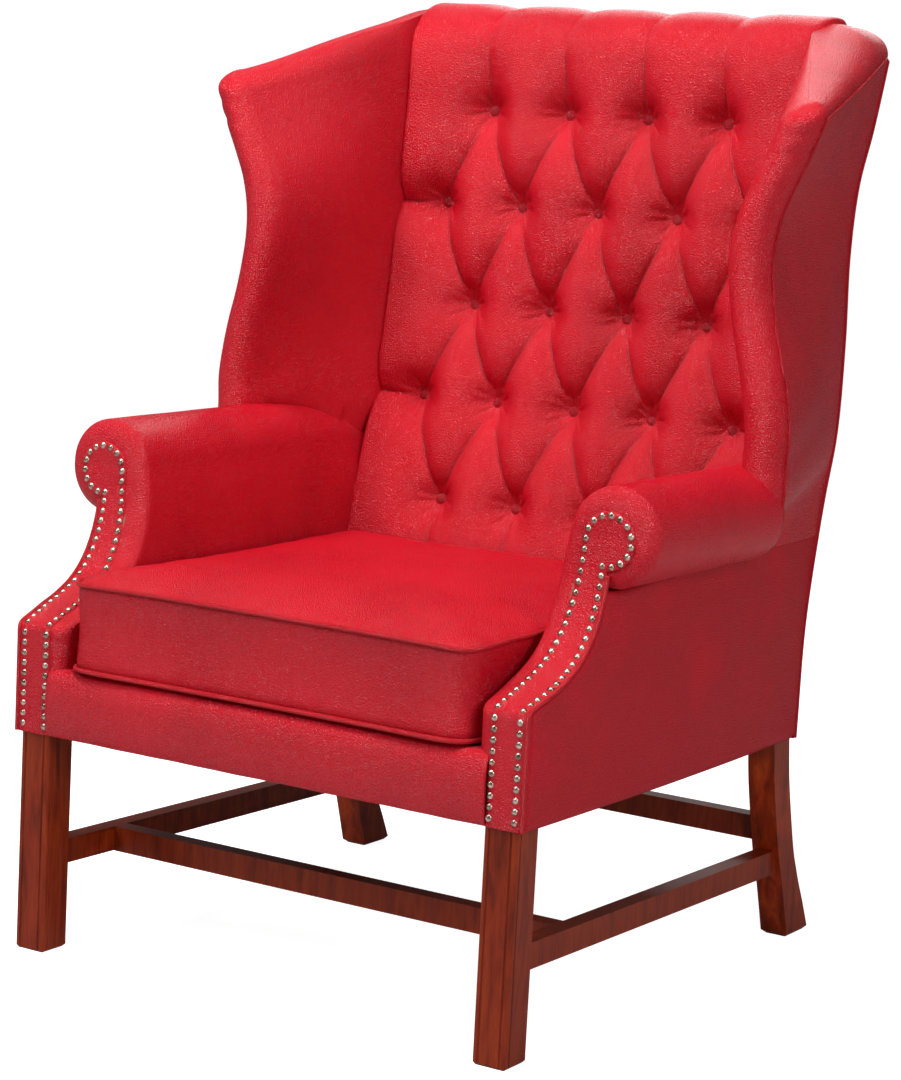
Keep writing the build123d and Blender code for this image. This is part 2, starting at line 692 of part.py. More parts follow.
# Back frame: leaning posts on the back legs, with a rail above and below
back_post_bottom_z = leg_top_z
back_post_outer_x = back_post_inner_x + back_post_width
back_post = upright_board(band(post_front_y, post_back_y, back_post_bottom_z, back_post_top_z),
                          back_post_inner_x, back_post_outer_x)
write_pair(back_post, "back_post")
top_rail = upright_board(band(post_front_y, post_back_y, back_post_top_z - top_rail_height, back_post_top_z,
                             straight_steps),
                         -back_post_inner_x, back_post_inner_x)
write(top_rail, "top_rail")
stuffing_rail = upright_board(band(post_front_y, post_back_y, stuffing_rail_z,
                                   stuffing_rail_z + stuffing_rail_height, straight_steps),
                              -back_post_inner_x, back_post_inner_x)
write(stuffing_rail, "stuffing_rail")

# Webbing across the back posts
strap_low_z = stuffing_rail_z + stuffing_rail_height
strap_step = (back_post_top_z - strap_low_z) / back_webbing_count
strap_half = back_post_inner_x + back_post_width / 2
with BuildPart() as back_webbing:
    for i in range(back_webbing_count):
        strap_z = strap_low_z + strap_step * (i + 0.5)
        add(upright_board(band(webbing_front_y, lambda z: post_front_y(z) - joint_gap,
                               strap_z - webbing_width / 2, strap_z + webbing_width / 2, straight_steps),
                          -strap_half, strap_half))
write(back_webbing.part, "back_webbing")


# Inside back. Buttons stand in rows of four and five, and the padding swells between them.
def row_z(row):
    return button_top_z - row * button_row_pitch


def button_xs(row):
    """Places across the chair of one row's buttons, counted from the top row."""
    count = 4 + row % 2
    return [(i - (count - 1) / 2) * button_pitch for i in range(count)]


def back_plane(x, z):
    """A plane on the buttons' seats, facing out of the back."""
    rise = tuft_edge
    lean = (button_y(z + rise) - button_y(z - rise)) / (2 * rise)
    return Plane((x, button_y(z), z), x_dir=(1, 0, 0), z_dir=(0, -1, lean))


def tuft_outlines():
    """Outlines in width and height of the swells between the pleats."""
    side = back_half_width
    outlines = []
    for row in range(button_rows):
        mid_z = row_z(row)
        for left_x, right_x in zip(button_xs(row), button_xs(row)[1:]):
            mid_x = (left_x + right_x) / 2
            above = [(mid_x, mid_z + button_row_pitch)]
            below = [(mid_x, mid_z - button_row_pitch)]
            if row == 0:
                above = [(right_x, back_crest_start_z), (left_x, back_crest_start_z)]
            if row == button_rows - 1:
                below = [(left_x, tuft_bottom_z), (right_x, tuft_bottom_z)]
            outlines.append([(left_x, mid_z)] + below + [(right_x, mid_z)] + above)
        if row % 2 == 0:
            edge_x = button_xs(row)[-1]
            next_x = edge_x + button_pitch / 2
            top = [(next_x, mid_z + button_row_pitch), (side, mid_z + button_row_pitch)]
            bottom = [(side, mid_z - button_row_pitch), (next_x, mid_z - button_row_pitch)]
            if row == 0:
                top = [(edge_x, back_crest_start_z), (side, back_crest_start_z)]
            if row == button_rows - 1:
                bottom = [(side, tuft_bottom_z), (edge_x, tuft_bottom_z)]
            corners = [(edge_x, mid_z)] + top + bottom
            outlines.append(corners)
            outlines.append([(-x, z) for x, z in reversed(corners)])
    return outlines


back_top_y = front + back_crest_y
seam_y = outside_y(back_seam_z)
back_pad_bottom_z = deck_bottom_z + joint_gap
with BuildPart() as inside_back:
    with BuildSketch(Plane.YZ.offset(-back_half_width)):
        with BuildLine():
            face_heights = heights_between(back_pad_bottom_z, back_crest_start_z, board_steps)
            face = Spline([(button_y(z), z) for z in face_heights])
            roll = Spline(face @ 1, (back_top_y, crest_z), tangents=[face % 1, crest_direction])
            fall = Spline(roll @ 1, (seam_y, back_seam_z + joint_gap),
                          tangents=[crest_direction, seam_direction])
            top_gap_z = back_post_top_z + joint_gap
            rear = [(webbing_front_y(z) - joint_gap, z)
                    for z in reversed(heights_between(back_pad_bottom_z, top_gap_z, profile_steps))]
            Polyline(fall @ 1, (post_back_y(back_seam_z), back_seam_z + joint_gap),
                     (post_back_y(top_gap_z), top_gap_z), *rear, face @ 0)
        make_face()
    extrude(amount=2 * back_half_width)
    for outline in tuft_outlines():
        centre_x = sum(x for x, z in outline) / len(outline)
        centre_z = sum(z for x, z in outline) / len(outline)
        plane = back_plane(centre_x, centre_z)
        for rise, spread in tuft_level_shares:
            level = tuft_height * rise - (tuft_sink if rise == 0 else 0)
            with BuildSketch(plane.offset(level)):
                shrink = spread - tuft_edge / button_pitch
                Polygon(*[((x - centre_x) * shrink, (z - centre_z) * shrink) for x, z in outline], align=None)
        loft(ruled=True)
    pits = [back_plane(x, row_z(row)) for row in range(button_rows) for x in button_xs(row)]
    for plane in pits:
        with BuildSketch(plane):
            Circle(button_radius + tuft_edge / 2)
        extrude(amount=tuft_height, mode=Mode.SUBTRACT)
write(inside_back.part, "inside_back")

# Covered buttons in their pits
button = dome_shape(button_radius, button_height)
with BuildPart() as back_buttons:
    with Locations(*[plane.offset(joint_gap) for plane in pits]):
        add(button)
write(back_buttons.part, "back_buttons")

# Outside back: one leaning panel, from the hem to the top seam
back_heights = heights_between(cover_hem_z, back_seam_z, profile_steps)
with BuildPart() as outside_back:
    with BuildSketch(Plane.YZ.offset(-side_x)):
        Polygon(*band(lambda z: outside_y(z) - panel_thickness, outside_y, cover_hem_z, back_seam_z),
                align=None)
    extrude(amount=2 * side_x)
    with BuildSketch(Plane.XZ.offset(-(front + panel_back_y / 2))):
        edge = [(wing_corner_x(z) - joint_gap, z) for z in back_heights]
        Polygon(*(edge + [(-x, z) for x, z in reversed(edge)]), align=None)
    extrude(amount=-panel_back_y, mode=Mode.INTERSECT)
write(outside_back.part, "outside_back")

# Wings. Each section lies in a plane that leans up towards the back, as the wing's top does.
top_tilt = math.radians(wing_top_lean)


def wing_section_plane(z):
    return Plane((0, front + wing_front_y, z), x_dir=(1, 0, 0),
                 z_dir=(0, -math.sin(top_tilt), math.cos(top_tilt)))


def wing_reach(z, margin):
    """Distance along a section's plane from the wing's front to the back's outside, less a margin."""
    reach = panel_back_y - wing_front_y
    for step in range(solve_steps):
        rear_y = outside_y(z + reach * math.sin(top_tilt)) - front
        reach = (rear_y - wing_front_y - margin) / math.cos(top_tilt)
    return reach


def wing_outline(z, inset, outer_inset):
    """Corners of a wing section: the outer front, outer back, inner back and inner front."""
    reach = wing_reach(z, panel_thickness + 2 * soft_gap)
    rear_z = z + reach * math.sin(top_tilt)
    outer_x = wing_edge_x(z) - outer_inset - inset
    inner_x = wing_edge_x(z) - 2 * wing_radius + inset
    return ((outer_x, wing_radius), (wing_corner_x(rear_z) - outer_inset - inset, reach),
            (wing_inner_x + inset, reach), (inner_x, wing_radius))


def wing_loft(outer_inset, levels):
    """A wing's padding, lofted up through its levels of height and inset."""
    with BuildPart() as wing:
        for z, inset in levels:
            outer_front, outer_back, inner_back, inner_front = wing_outline(z, inset, outer_inset)
            mid_x = (outer_front[0] + inner_front[0]) / 2
            half = (outer_front[0] - inner_front[0]) / 2
            slant = math.sqrt(0.5)
            with BuildSketch(wing_section_plane(z)):
                with BuildLine():
                    side = Line(outer_front, outer_back)
                    rear = Line(side @ 1, inner_back)
                    inside = Line(rear @ 1, inner_front)
                    near = ThreePointArc(inside @ 1, (mid_x - half * slant, wing_radius - half * slant),
                                         (mid_x, wing_radius - half))
                    ThreePointArc(near @ 1, (mid_x + half * slant, wing_radius - half * slant), side @ 0)
                make_face()
        loft(ruled=True)
    return wing.part


wing_roll_z = wing_top_z - wing_radius
wing_levels = [(wing_low_z + (wing_roll_z - wing_low_z) * share, 0.0) for share in wing_height_shares]
roll_turns = [share * math.pi / 2 for share in wing_roll_shares]
roll_levels = [(wing_roll_z + wing_radius * math.sin(turn), wing_radius * (1 - math.cos(turn)))
               for turn in roll_turns]

# Wing frame: a front post standing on the arm rail, and a rail back to the back post
wing_post_y = front + wing_front_y + wing_radius
wing_post_back_y = wing_post_y + wing_post_depth
wing_post_foot_z = arm_post_top_z
wing_post_bend_z = roll_z + roll_radius + wing_radius


def wing_post_x(z):
    """Middle of the wing post at a height."""
    bend_x = wing_edge_x(wing_post_bend_z) - wing_radius
    rise = (z - wing_post_foot_z) / (wing_post_bend_z - wing_post_foot_z)
    if rise < 1:
        return wing_post_foot_x + (bend_x - wing_post_foot_x) * rise
    return wing_edge_x(z) - wing_radius


def wing_post_board(grow):
    heights = heights_between(wing_post_foot_z, wing_post_top_z, board_steps)
    with BuildPart() as board:
        with BuildSketch(Plane.XZ.offset(-(wing_post_y - grow))):
            half = wing_post_thickness / 2 + grow
            middle = [(wing_post_x(z), z) for z in heights]
            middle.append((wing_post_x(wing_post_top_z), wing_post_top_z + grow))
            left = [(x - half, z) for x, z in middle]
            right = [(x + half, z) for x, z in middle]
            Polygon(*(left + right[::-1]), align=None)
        extrude(amount=-(wing_post_depth + 2 * grow))
    return board.part


def wing_rail_board(grow):
    back_x = back_post_inner_x + wing_post_thickness / 2
    front_z = wing_post_top_z - wing_rail_height / 2
    back_y = post_front_y(wing_rail_back_z) - joint_gap
    with BuildPart() as board:
        front_x = wing_post_x(front_z) - wing_radius / 4
        for x, y, z in ((front_x, wing_post_back_y + joint_gap - grow, front_z),
                        (back_x, back_y - wing_rail_height / 4 + grow, wing_rail_back_z)):
            with BuildSketch(Plane.XZ.offset(-y)):
                with Locations((x, z)):
                    Rectangle(wing_post_thickness + 2 * grow, wing_rail_height + 2 * grow)
        loft(ruled=True)
    return board.part


write_pair(wing_post_board(0), "wing_post")
write_pair(wing_rail_board(0), "wing_rail")

ledge_x = arm_inner_x + arm_ledge + soft_gap
arm_top_z = roll_z + roll_radius + soft_gap
with BuildPart() as wing_pad:
    add(wing_loft(wing_skin_thickness + joint_gap, wing_levels + roll_levels))
    with Locations((0, -crest_z, -crest_z)):
        Box(crest_z, 2 * crest_z, crest_z + rail_channel_z, align=(Align.MIN, Align.MIN, Align.MIN),
            mode=Mode.SUBTRACT)
    with Locations((0, -crest_z, 0)):
        Box(ledge_x, 2 * crest_z, arm_top_z, align=(Align.MIN, Align.MIN, Align.MIN), mode=Mode.SUBTRACT)
        Box(roll_x, crest_z + front + roll_back_y + soft_gap, arm_top_z,
            align=(Align.MIN, Align.MIN, Align.MIN), mode=Mode.SUBTRACT)
    with BuildSketch(Plane.XZ.offset(-(front + roll_back_y + soft_gap))):
        with Locations((roll_x, roll_z)):
            Circle(roll_radius + soft_gap)
    extrude(amount=crest_z, mode=Mode.SUBTRACT)
    add(upright_board(band(lambda z: webbing_front_y(z) - joint_gap,
                           lambda z: front + panel_back_y + 2 * back_lean,
                           rail_channel_z, back_post_top_z + joint_gap, board_steps),
                      0, back_post_outer_x + joint_gap), mode=Mode.SUBTRACT)
    add(wing_post_board(joint_gap), mode=Mode.SUBTRACT)
    add(wing_rail_board(joint_gap), mode=Mode.SUBTRACT)
write_pair(wing_pad.part, "wing_pad")

# Outside wing: the leather side, from the seam above the arm's panel to the top seam
with BuildPart() as outside_wing:
    for z, inset in wing_levels:
        outer_front, outer_back, inner_back, inner_front = wing_outline(z, inset, 0)
        with BuildSketch(wing_section_plane(z)):
            Polygon(outer_front, outer_back, (outer_back[0] - wing_skin_thickness, outer_back[1]),
                    (outer_front[0] - wing_skin_thickness, outer_front[1]), align=None)
    loft(ruled=True)
    with Locations((0, -crest_z, -crest_z)):
        Box(crest_z, 2 * crest_z, crest_z + roll_bottom_z, align=(Align.MIN, Align.MIN, Align.MIN),
            mode=Mode.SUBTRACT)
    with BuildSketch(Plane.XZ.offset(-(front + roll_back_y + soft_gap))):
        with Locations((roll_x, roll_z)):
            Circle(roll_radius + soft_gap)
    extrude(amount=crest_z, mode=Mode.SUBTRACT)
write_pair(outside_wing.part, "outside_wing")


# Loose seat cushion: a crowned box with welted edges
def cushion_section(z, inset):
    """The cushion's plan at a height: sides drawn in at their middles, and round corners."""
    half = cushion_half_width - inset
    near = front + cushion_front_y + inset
    far = front + cushion_back_y - inset
    middle = (near + far) / 2
    with BuildSketch(Plane.XY.offset(z)) as section:
        with BuildLine():
            ThreePointArc((-half, near), (0, near + cushion_draw), (half, near))
            ThreePointArc((half, near), (half - cushion_draw, middle), (half, far))
            ThreePointArc((half, far), (0, far - cushion_draw), (-half, far))
            ThreePointArc((-half, far), (cushion_draw - half, middle), (-half, near))
        make_face()
        fillet(section.vertices(), cushion_corner_radius)
    return section.sketch


cushion_bottom_z = deck_top_z + soft_gap
cushion_edge_z = cushion_bottom_z + cushion_edge_height


def cushion_body(inset):
    """The cushion's closed form, drawn in by an inset all round."""
    low_z = cushion_bottom_z + inset
    high_z = cushion_edge_z - inset
    levels = [(low_z, 0.0), ((low_z + high_z) / 2, -cushion_swell), (high_z, 0.0)]
    levels += [(high_z + cushion_crown * rise, cushion_half_width * (1 - spread))
               for rise, spread in crown_shares]
    with BuildPart() as body:
        loft([cushion_section(z, inset + drawn) for z, drawn in levels], ruled=True)
    return body.part


with BuildPart() as cushion_cover:
    add(cushion_body(0))
    add(cushion_body(cushion_hide), mode=Mode.SUBTRACT)
with BuildPart() as cushion_core:
    add(cushion_body(cushion_hide + soft_gap))
write(cushion_cover.part, "cushion_cover")
write(cushion_core.part, "cushion_core")

welt_inset = -(cushion_piping_radius + soft_gap)
for name, z in (("cushion_piping_bottom", cushion_bottom_z + cushion_piping_radius),
                ("cushion_piping_top", cushion_edge_z)):
    welt_path = cushion_section(z, welt_inset).face().outer_wire()
    with BuildPart() as piping:
        with BuildSketch(Plane(welt_path @ 0, z_dir=welt_path % 0)):
            Circle(cushion_piping_radius)
        sweep(path=welt_path)
    write(piping.part, name)
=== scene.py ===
import json
import math
import bpy
import bmesh
import numpy as np
from mathutils import Matrix, Vector


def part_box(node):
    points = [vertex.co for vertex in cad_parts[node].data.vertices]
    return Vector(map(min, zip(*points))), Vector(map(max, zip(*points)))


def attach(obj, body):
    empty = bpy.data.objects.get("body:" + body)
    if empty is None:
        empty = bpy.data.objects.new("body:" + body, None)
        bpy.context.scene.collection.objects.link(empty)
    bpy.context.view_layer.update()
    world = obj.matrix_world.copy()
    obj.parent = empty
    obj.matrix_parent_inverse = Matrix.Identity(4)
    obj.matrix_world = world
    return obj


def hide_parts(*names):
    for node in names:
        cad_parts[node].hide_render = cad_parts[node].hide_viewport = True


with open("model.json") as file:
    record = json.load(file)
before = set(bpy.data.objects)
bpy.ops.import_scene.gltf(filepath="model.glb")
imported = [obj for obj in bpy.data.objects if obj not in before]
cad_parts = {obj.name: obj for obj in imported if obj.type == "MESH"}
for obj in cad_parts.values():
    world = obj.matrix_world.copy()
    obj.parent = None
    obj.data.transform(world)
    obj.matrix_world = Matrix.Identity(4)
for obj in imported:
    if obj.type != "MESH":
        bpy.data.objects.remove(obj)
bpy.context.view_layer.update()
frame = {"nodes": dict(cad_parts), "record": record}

mm = 0.001
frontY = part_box("front_leg_right")[0][1]      # depths below count back from the front legs' faces
print("frame loaded, front of the legs at", round(frontY, 4))


# Curves and meshes

def smoothLine(points, count):
    # count points, evenly spaced along a smooth line through the given ones
    pts = np.array(points, float)
    padded = np.vstack([2 * pts[0] - pts[1], pts, 2 * pts[-1] - pts[-2]])
    fine = []
    for i in range(1, len(padded) - 2):
        p0, p1, p2, p3 = padded[i - 1:i + 3]
        d01, d12, d23 = (max(np.linalg.norm(b - a), 1e-9) ** 0.5 for a, b in ((p0, p1), (p1, p2), (p2, p3)))
        m1 = (p1 - p0) / d01 - (p2 - p0) / (d01 + d12) + (p2 - p1) / d12
        m2 = (p2 - p1) / d12 - (p3 - p1) / (d12 + d23) + (p3 - p2) / d23
        for t in np.linspace(0, 1, 24, endpoint=False):
            fine.append((2 * t**3 - 3 * t**2 + 1) * p1 + (t**3 - 2 * t**2 + t) * m1 * d12
                        + (3 * t**2 - 2 * t**3) * p2 + (t**3 - t**2) * m2 * d12)
    fine = np.array(fine + [pts[-1]])
    return evenly(fine, count)


def lengthAlong(line):
    # How far along the line each of its points lies
    return np.concatenate([[0], np.cumsum(np.linalg.norm(np.diff(line, axis=0), axis=1))])


def evenly(line, count):
    # The same line with count points at even steps
    run = lengthAlong(line)
    at = np.linspace(0, run[-1], count)
    return np.stack([np.interp(at, run, line[:, k]) for k in range(line.shape[1])], axis=1)


def readOff(table, at):
    # The second figure of a table of pairs, read off between its first ones
    pairs = np.array(table, float)
    return np.interp(at, pairs[:, 0], pairs[:, 1])


def smoothStep(low, high, value):
    # 0 at low, 1 at high, easing in and out between
    t = np.clip((value - low) / (high - low), 0, 1)
    return t * t * (3 - 2 * t)


def roundOver(away, radius):
    # How far a rounded edge has fallen back, as a share of its depth, at a distance from the edge
    near = np.clip(away / radius, 0, 1)
    return 1 - np.sqrt(1 - (1 - near)**2)


def newPiece(name, verts, faces, body="chair", slotName="leather", replaced=(), material=None):
    # A smooth piece from points in metres, on its body; its slot name is not used
    mesh = bpy.data.meshes.new(name)
    mesh.from_pydata([tuple(v) for v in verts], [], faces)
    work = bmesh.new()
    work.from_mesh(mesh)
    bmesh.ops.remove_doubles(work, verts=work.verts, dist=2e-6)
    bmesh.ops.recalc_face_normals(work, faces=work.faces)
    work.to_mesh(mesh)
    work.free()
    for face in mesh.polygons:
        face.use_smooth = True
    piece = bpy.data.objects.new(name, mesh)
    bpy.context.scene.collection.objects.link(piece)
    if material:
        mesh.materials.append(material)
    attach(piece, body)
    if replaced:
        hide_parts(*replaced)
    return piece


def shell(name, outer, inner, **facts):
    # A closed sheet between two grids of points of the same shape
    rows, cols = outer.shape[:2]
    verts = np.vstack([outer.reshape(-1, 3), inner.reshape(-1, 3)])
    back = rows * cols
    faces = []
    for i in range(rows - 1):
        for j in range(cols - 1):
            a, b, c, d = i * cols + j, i * cols + j + 1, (i + 1) * cols + j + 1, (i + 1) * cols + j
            faces += [(a, b, c, d), (back + a, back + d, back + c, back + b)]
    rim = [j for j in range(cols)] + [i * cols + cols - 1 for i in range(1, rows)]
    rim += [(rows - 1) * cols + j for j in range(cols - 2, -1, -1)]
    rim += [i * cols for i in range(rows - 2, 0, -1)]
    for a, b in zip(rim, rim[1:] + rim[:1]):
        faces.append((a, back + a, back + b, b))
    return newPiece(name, verts, faces, **facts)


def stack(name, rings, **facts):
    # A closed piece from rings of points, one above another, with a flat face at each end
    rings = np.array(rings)
    levels, count = rings.shape[:2]
    faces = []
    for i in range(levels - 1):
        for j in range(count):
            n = (j + 1) % count
            faces.append((i * count + j, i * count + n, (i + 1) * count + n, (i + 1) * count + j))
    faces += [tuple(reversed(range(count))), tuple((levels - 1) * count + j for j in range(count))]
    return newPiece(name, rings.reshape(-1, 3), faces, **facts)


weltSizes = {"side": 2.7, "seam": 1.9, "back": 2.0, "cushion": 3.0}      # radii in millimetres


def piping(name, line, kind, closed=False, **facts):
    # A round cord covered in leather, along a line of points
    radius = weltSizes[kind] * mm
    sides = 10
    pts = np.array(line, float)
    count = len(pts)
    ahead = np.roll(pts, -1, axis=0) - np.roll(pts, 1, axis=0)
    if not closed:
        ahead[0], ahead[-1] = pts[1] - pts[0], pts[-1] - pts[-2]
    ahead /= np.linalg.norm(ahead, axis=1)[:, None]
    side = np.array([0.0, 0.0, 1.0]) if abs(ahead[0][2]) < 0.9 else np.array([1.0, 0.0, 0.0])
    verts = []
    for p, t in zip(pts, ahead):
        side = side - t * np.dot(side, t)
        side /= np.linalg.norm(side)
        other = np.cross(t, side)
        for k in range(sides):
            turn = 2 * math.pi * k / sides
            verts.append(p + radius * (math.cos(turn) * side + math.sin(turn) * other))
    faces = []
    for i in range(count if closed else count - 1):
        n = (i + 1) % count
        for k in range(sides):
            m = (k + 1) % sides
            faces.append((i * sides + k, i * sides + m, n * sides + m, n * sides + k))
    if not closed:
        faces += [tuple(range(sides)), tuple((count - 1) * sides + k for k in reversed(range(sides)))]
    return newPiece(name, verts, faces, slotName="leather_piping", material=weltLeather, **facts)


def place(x, depth, z):
    # Points in metres from places in millimetres: across, back from the legs' faces, up
    axes = np.asarray(x) * mm, np.asarray(depth) * mm + frontY, np.asarray(z) * mm
    return np.stack(np.broadcast_arrays(*axes), axis=-1)


def mirrored(points, side):
    # side is 1 for the right-hand piece and -1 for the left-hand one
    return points * np.array([side, 1.0, 1.0])


# Materials

def nodesOf(material):
    material.use_nodes = True
    tree = material.node_tree
    return tree, tree.nodes["Principled BSDF"]


def makeGroup(name, inputs, outputs, build):
    # A shader group with number sockets, whose nodes build() adds
    tree = bpy.data.node_groups.new(name, "ShaderNodeTree")
    for label, value in inputs.items():
        socket = tree.interface.new_socket(label, in_out="INPUT", socket_type="NodeSocketFloat")
        socket.default_value = value
    for label in outputs:
        tree.interface.new_socket(label, in_out="OUTPUT", socket_type="NodeSocketFloat")
    start, end = tree.nodes.new("NodeGroupInput"), tree.nodes.new("NodeGroupOutput")
    build(tree, start, end)
    return tree


def addNode(tree, kind, links=(), **values):
    # in_Name=value sets an input, other values set the node, and links are (input, output) pairs
    node = tree.nodes.new(kind)
    for key, value in values.items():
        if key.startswith("in_"):
            node.inputs[key[3:].replace("_", " ")].default_value = value
        else:
            setattr(node, key, value)
    for target, source in links:
        tree.links.new(source, node.inputs[target])
    return node


def mathNode(tree, operation, first, second=None, third=None):
    node = tree.nodes.new("ShaderNodeMath")
    node.operation = operation
    for i, value in enumerate((first, second, third)):
        if value is None:
            continue
        if isinstance(value, (int, float)):
            node.inputs[i].default_value = value
        else:
            tree.links.new(value, node.inputs[i])
    return node.outputs[0]


def ramp(tree, source, stops):
    node = tree.nodes.new("ShaderNodeValToRGB")
    while len(node.color_ramp.elements) < len(stops):
        node.color_ramp.elements.new(0.5)
    for element, (at, color) in zip(node.color_ramp.elements, stops):
        element.position = at
        element.color = (*color, 1) if len(color) == 3 else color
    tree.links.new(source, node.inputs[0])
    return node.outputs[0]


def remap(tree, source, low, high):
    # 0 at low and 1 at high
    node = tree.nodes.new("ShaderNodeMapRange")
    node.inputs["From Min"].default_value = low
    node.inputs["From Max"].default_value = high
    tree.links.new(source, node.inputs["Value"])
    return node.outputs["Result"]


def buildGrain(tree, start, end):
    # Leather's grain: pebbles of two sizes with creases between, soft wrinkles and cloudy colour
    coords = addNode(tree, "ShaderNodeTexCoord").outputs["Object"]
    warp = addNode(tree, "ShaderNodeTexNoise", [("Vector", coords)], in_Scale=60.0, in_Detail=2.0)
    warped = addNode(tree, "ShaderNodeVectorMath", operation="MULTIPLY_ADD")
    tree.links.new(warp.outputs["Color"], warped.inputs[0])
    warped.inputs[1].default_value = (0.006, 0.006, 0.006)
    tree.links.new(coords, warped.inputs[2])
    heights = []
    for factor in (1.0, 2.3):
        scale = mathNode(tree, "MULTIPLY", start.outputs["Pebbles"], factor)
        cell = addNode(tree, "ShaderNodeTexVoronoi", [("Vector", warped.outputs[0]), ("Scale", scale)],
                       feature="DISTANCE_TO_EDGE")
        rise = mathNode(tree, "MULTIPLY", cell.outputs["Distance"], 4.0)
        heights.append(mathNode(tree, "MINIMUM", rise, 1.0))
    fine = mathNode(tree, "MULTIPLY", heights[1], 0.35)
    pebbles = mathNode(tree, "MULTIPLY_ADD", heights[0], 0.65, fine)
    wrinkle = addNode(tree, "ShaderNodeTexNoise", [("Vector", coords)], in_Scale=34.0, in_Detail=4.0,
                      in_Roughness=0.6)
    height = mathNode(tree, "MULTIPLY_ADD", wrinkle.outputs["Fac"], 0.7, pebbles)
    cloud = addNode(tree, "ShaderNodeTexNoise", [("Vector", coords)], in_Scale=7.0, in_Detail=5.0)
    tree.links.new(height, end.inputs["Height"])
    tree.links.new(cloud.outputs["Fac"], end.inputs["Cloud"])
    tree.links.new(pebbles, end.inputs["Pebble"])


def buildWearAndShade(tree, start, end):
    # Edge and hollow masks from the surface's pointiness: worn edges and painted crease shade on the leather,
    # painted edge shade and dusty hollows on the wood
    geometry = addNode(tree, "ShaderNodeNewGeometry")
    coords = addNode(tree, "ShaderNodeTexCoord").outputs["Object"]
    noise = addNode(tree, "ShaderNodeTexNoise", [("Vector", coords)], in_Scale=45.0, in_Detail=5.0)
    centred = mathNode(tree, "SUBTRACT", noise.outputs["Fac"], 0.5)
    shifted = mathNode(tree, "MULTIPLY_ADD", centred, start.outputs["Breakup"],
                       geometry.outputs["Pointiness"])
    tree.links.new(remap(tree, shifted, 0.51, 0.58), end.inputs["Edge"])
    tree.links.new(remap(tree, shifted, 0.49, 0.42), end.inputs["Hollow"])


grainGroup = makeGroup("leatherGrain", {"Pebbles": 420.0}, ["Height", "Cloud", "Pebble"], buildGrain)
wearAndShadeGroup = makeGroup("edgeWearAndShade", {"Breakup": 0.08}, ["Edge", "Hollow"], buildWearAndShade)


def placeGroup(tree, group, **values):
    node = tree.nodes.new("ShaderNodeGroup")
    node.node_tree = group
    for key, value in values.items():
        node.inputs[key].default_value = value
    return node


def mixColor(tree, factor, first, second):
    node = tree.nodes.new("ShaderNodeMix")
    node.data_type = "RGBA"
    for index, value in ((0, factor), (6, first), (7, second)):      # the Mix node's colour sockets
        if isinstance(value, (int, float)):
            node.inputs[index].default_value = value
        elif isinstance(value, tuple):
            node.inputs[index].default_value = (*value, 1)
        else:
            tree.links.new(value, node.inputs[index])
    return node.outputs[2]


def addBump(tree, shader, height, strength, distance):
    bump = addNode(tree, "ShaderNodeBump", [("Height", height)], in_Strength=strength, in_Distance=distance)
    tree.links.new(bump.outputs["Normal"], shader.inputs["Normal"])


# The crease colour also darkens the hollows, as painted shade in the pleats' creases
leatherLook = {"color": (0.6, 0.0005, 0.014), "dark": (0.53, 0.0003, 0.012), "pale": (0.65, 0.001, 0.016),
               "crease": (0.2, 0.0002, 0.004), "creaseTint": 0.22, "creaseRough": 0.1, "hollowShade": 0.6,
               "rubbed": (0.72, 0.01, 0.024), "rub": 0.25, "breakup": 0.05, "pebbles": 300.0,
               "rough": 0.17, "cloudRough": 0.16, "bump": 0.75, "relief": 0.0012, "shine": 0.38}
# The outside panels: the same leather painted darker and greyer as painted shade, and rougher and less shiny
panelShadeLook = {**leatherLook, "color": (0.5, 0.004, 0.014), "rough": 0.32, "shine": 0.24}
# The buttons: the same leather painted darker, as painted shade in their deep pits
buttonShadeLook = {**leatherLook, "color": (0.34, 0.0003, 0.008), "dark": (0.26, 0.0002, 0.006),
              "pale": (0.4, 0.0005, 0.01)}
weltLook = {**leatherLook, "color": (0.5, 0.002, 0.009), "rub": 0.35, "pebbles": 500.0}


def leatherMaterial(name, look):
    material = bpy.data.materials.new(name)
    tree, shader = nodesOf(material)
    grain = placeGroup(tree, grainGroup, Pebbles=look["pebbles"])
    edgesAndHollows = placeGroup(tree, wearAndShadeGroup, Breakup=look["breakup"])
    base = ramp(tree, grain.outputs["Cloud"],
                [(0.3, look["dark"]), (0.5, look["color"]), (0.72, look["pale"])])
    # Painted shade: the hollows between the tufts turn towards the crease colour
    shadedHollows = mathNode(tree, "MULTIPLY", edgesAndHollows.outputs["Hollow"], look["hollowShade"])
    base = mixColor(tree, shadedHollows, base, look["crease"])
    rubbed = mathNode(tree, "MULTIPLY", edgesAndHollows.outputs["Edge"], look["rub"])
    base = mixColor(tree, rubbed, base, look["rubbed"])
    creases = mathNode(tree, "SUBTRACT", 1.0, grain.outputs["Pebble"])
    base = mixColor(tree, mathNode(tree, "MULTIPLY", creases, look["creaseTint"]), base, look["crease"])
    tree.links.new(base, shader.inputs["Base Color"])
    rough = mathNode(tree, "MULTIPLY_ADD", grain.outputs["Cloud"], look["cloudRough"], look["rough"])
    rough = mathNode(tree, "MULTIPLY_ADD", creases, look["creaseRough"], rough)
    tree.links.new(rough, shader.inputs["Roughness"])
    addBump(tree, shader, grain.outputs["Height"], look["bump"], look["relief"])
    shader.inputs["Specular IOR Level"].default_value = look["shine"]
    return material


redLeather = leatherMaterial("redLeather", leatherLook)
shadedPanelLeather = leatherMaterial("shadedPanelLeather", panelShadeLook)
shadedButtonLeather = leatherMaterial("shadedButtonLeather", buttonShadeLook)
weltLeather = leatherMaterial("weltLeather", weltLook)

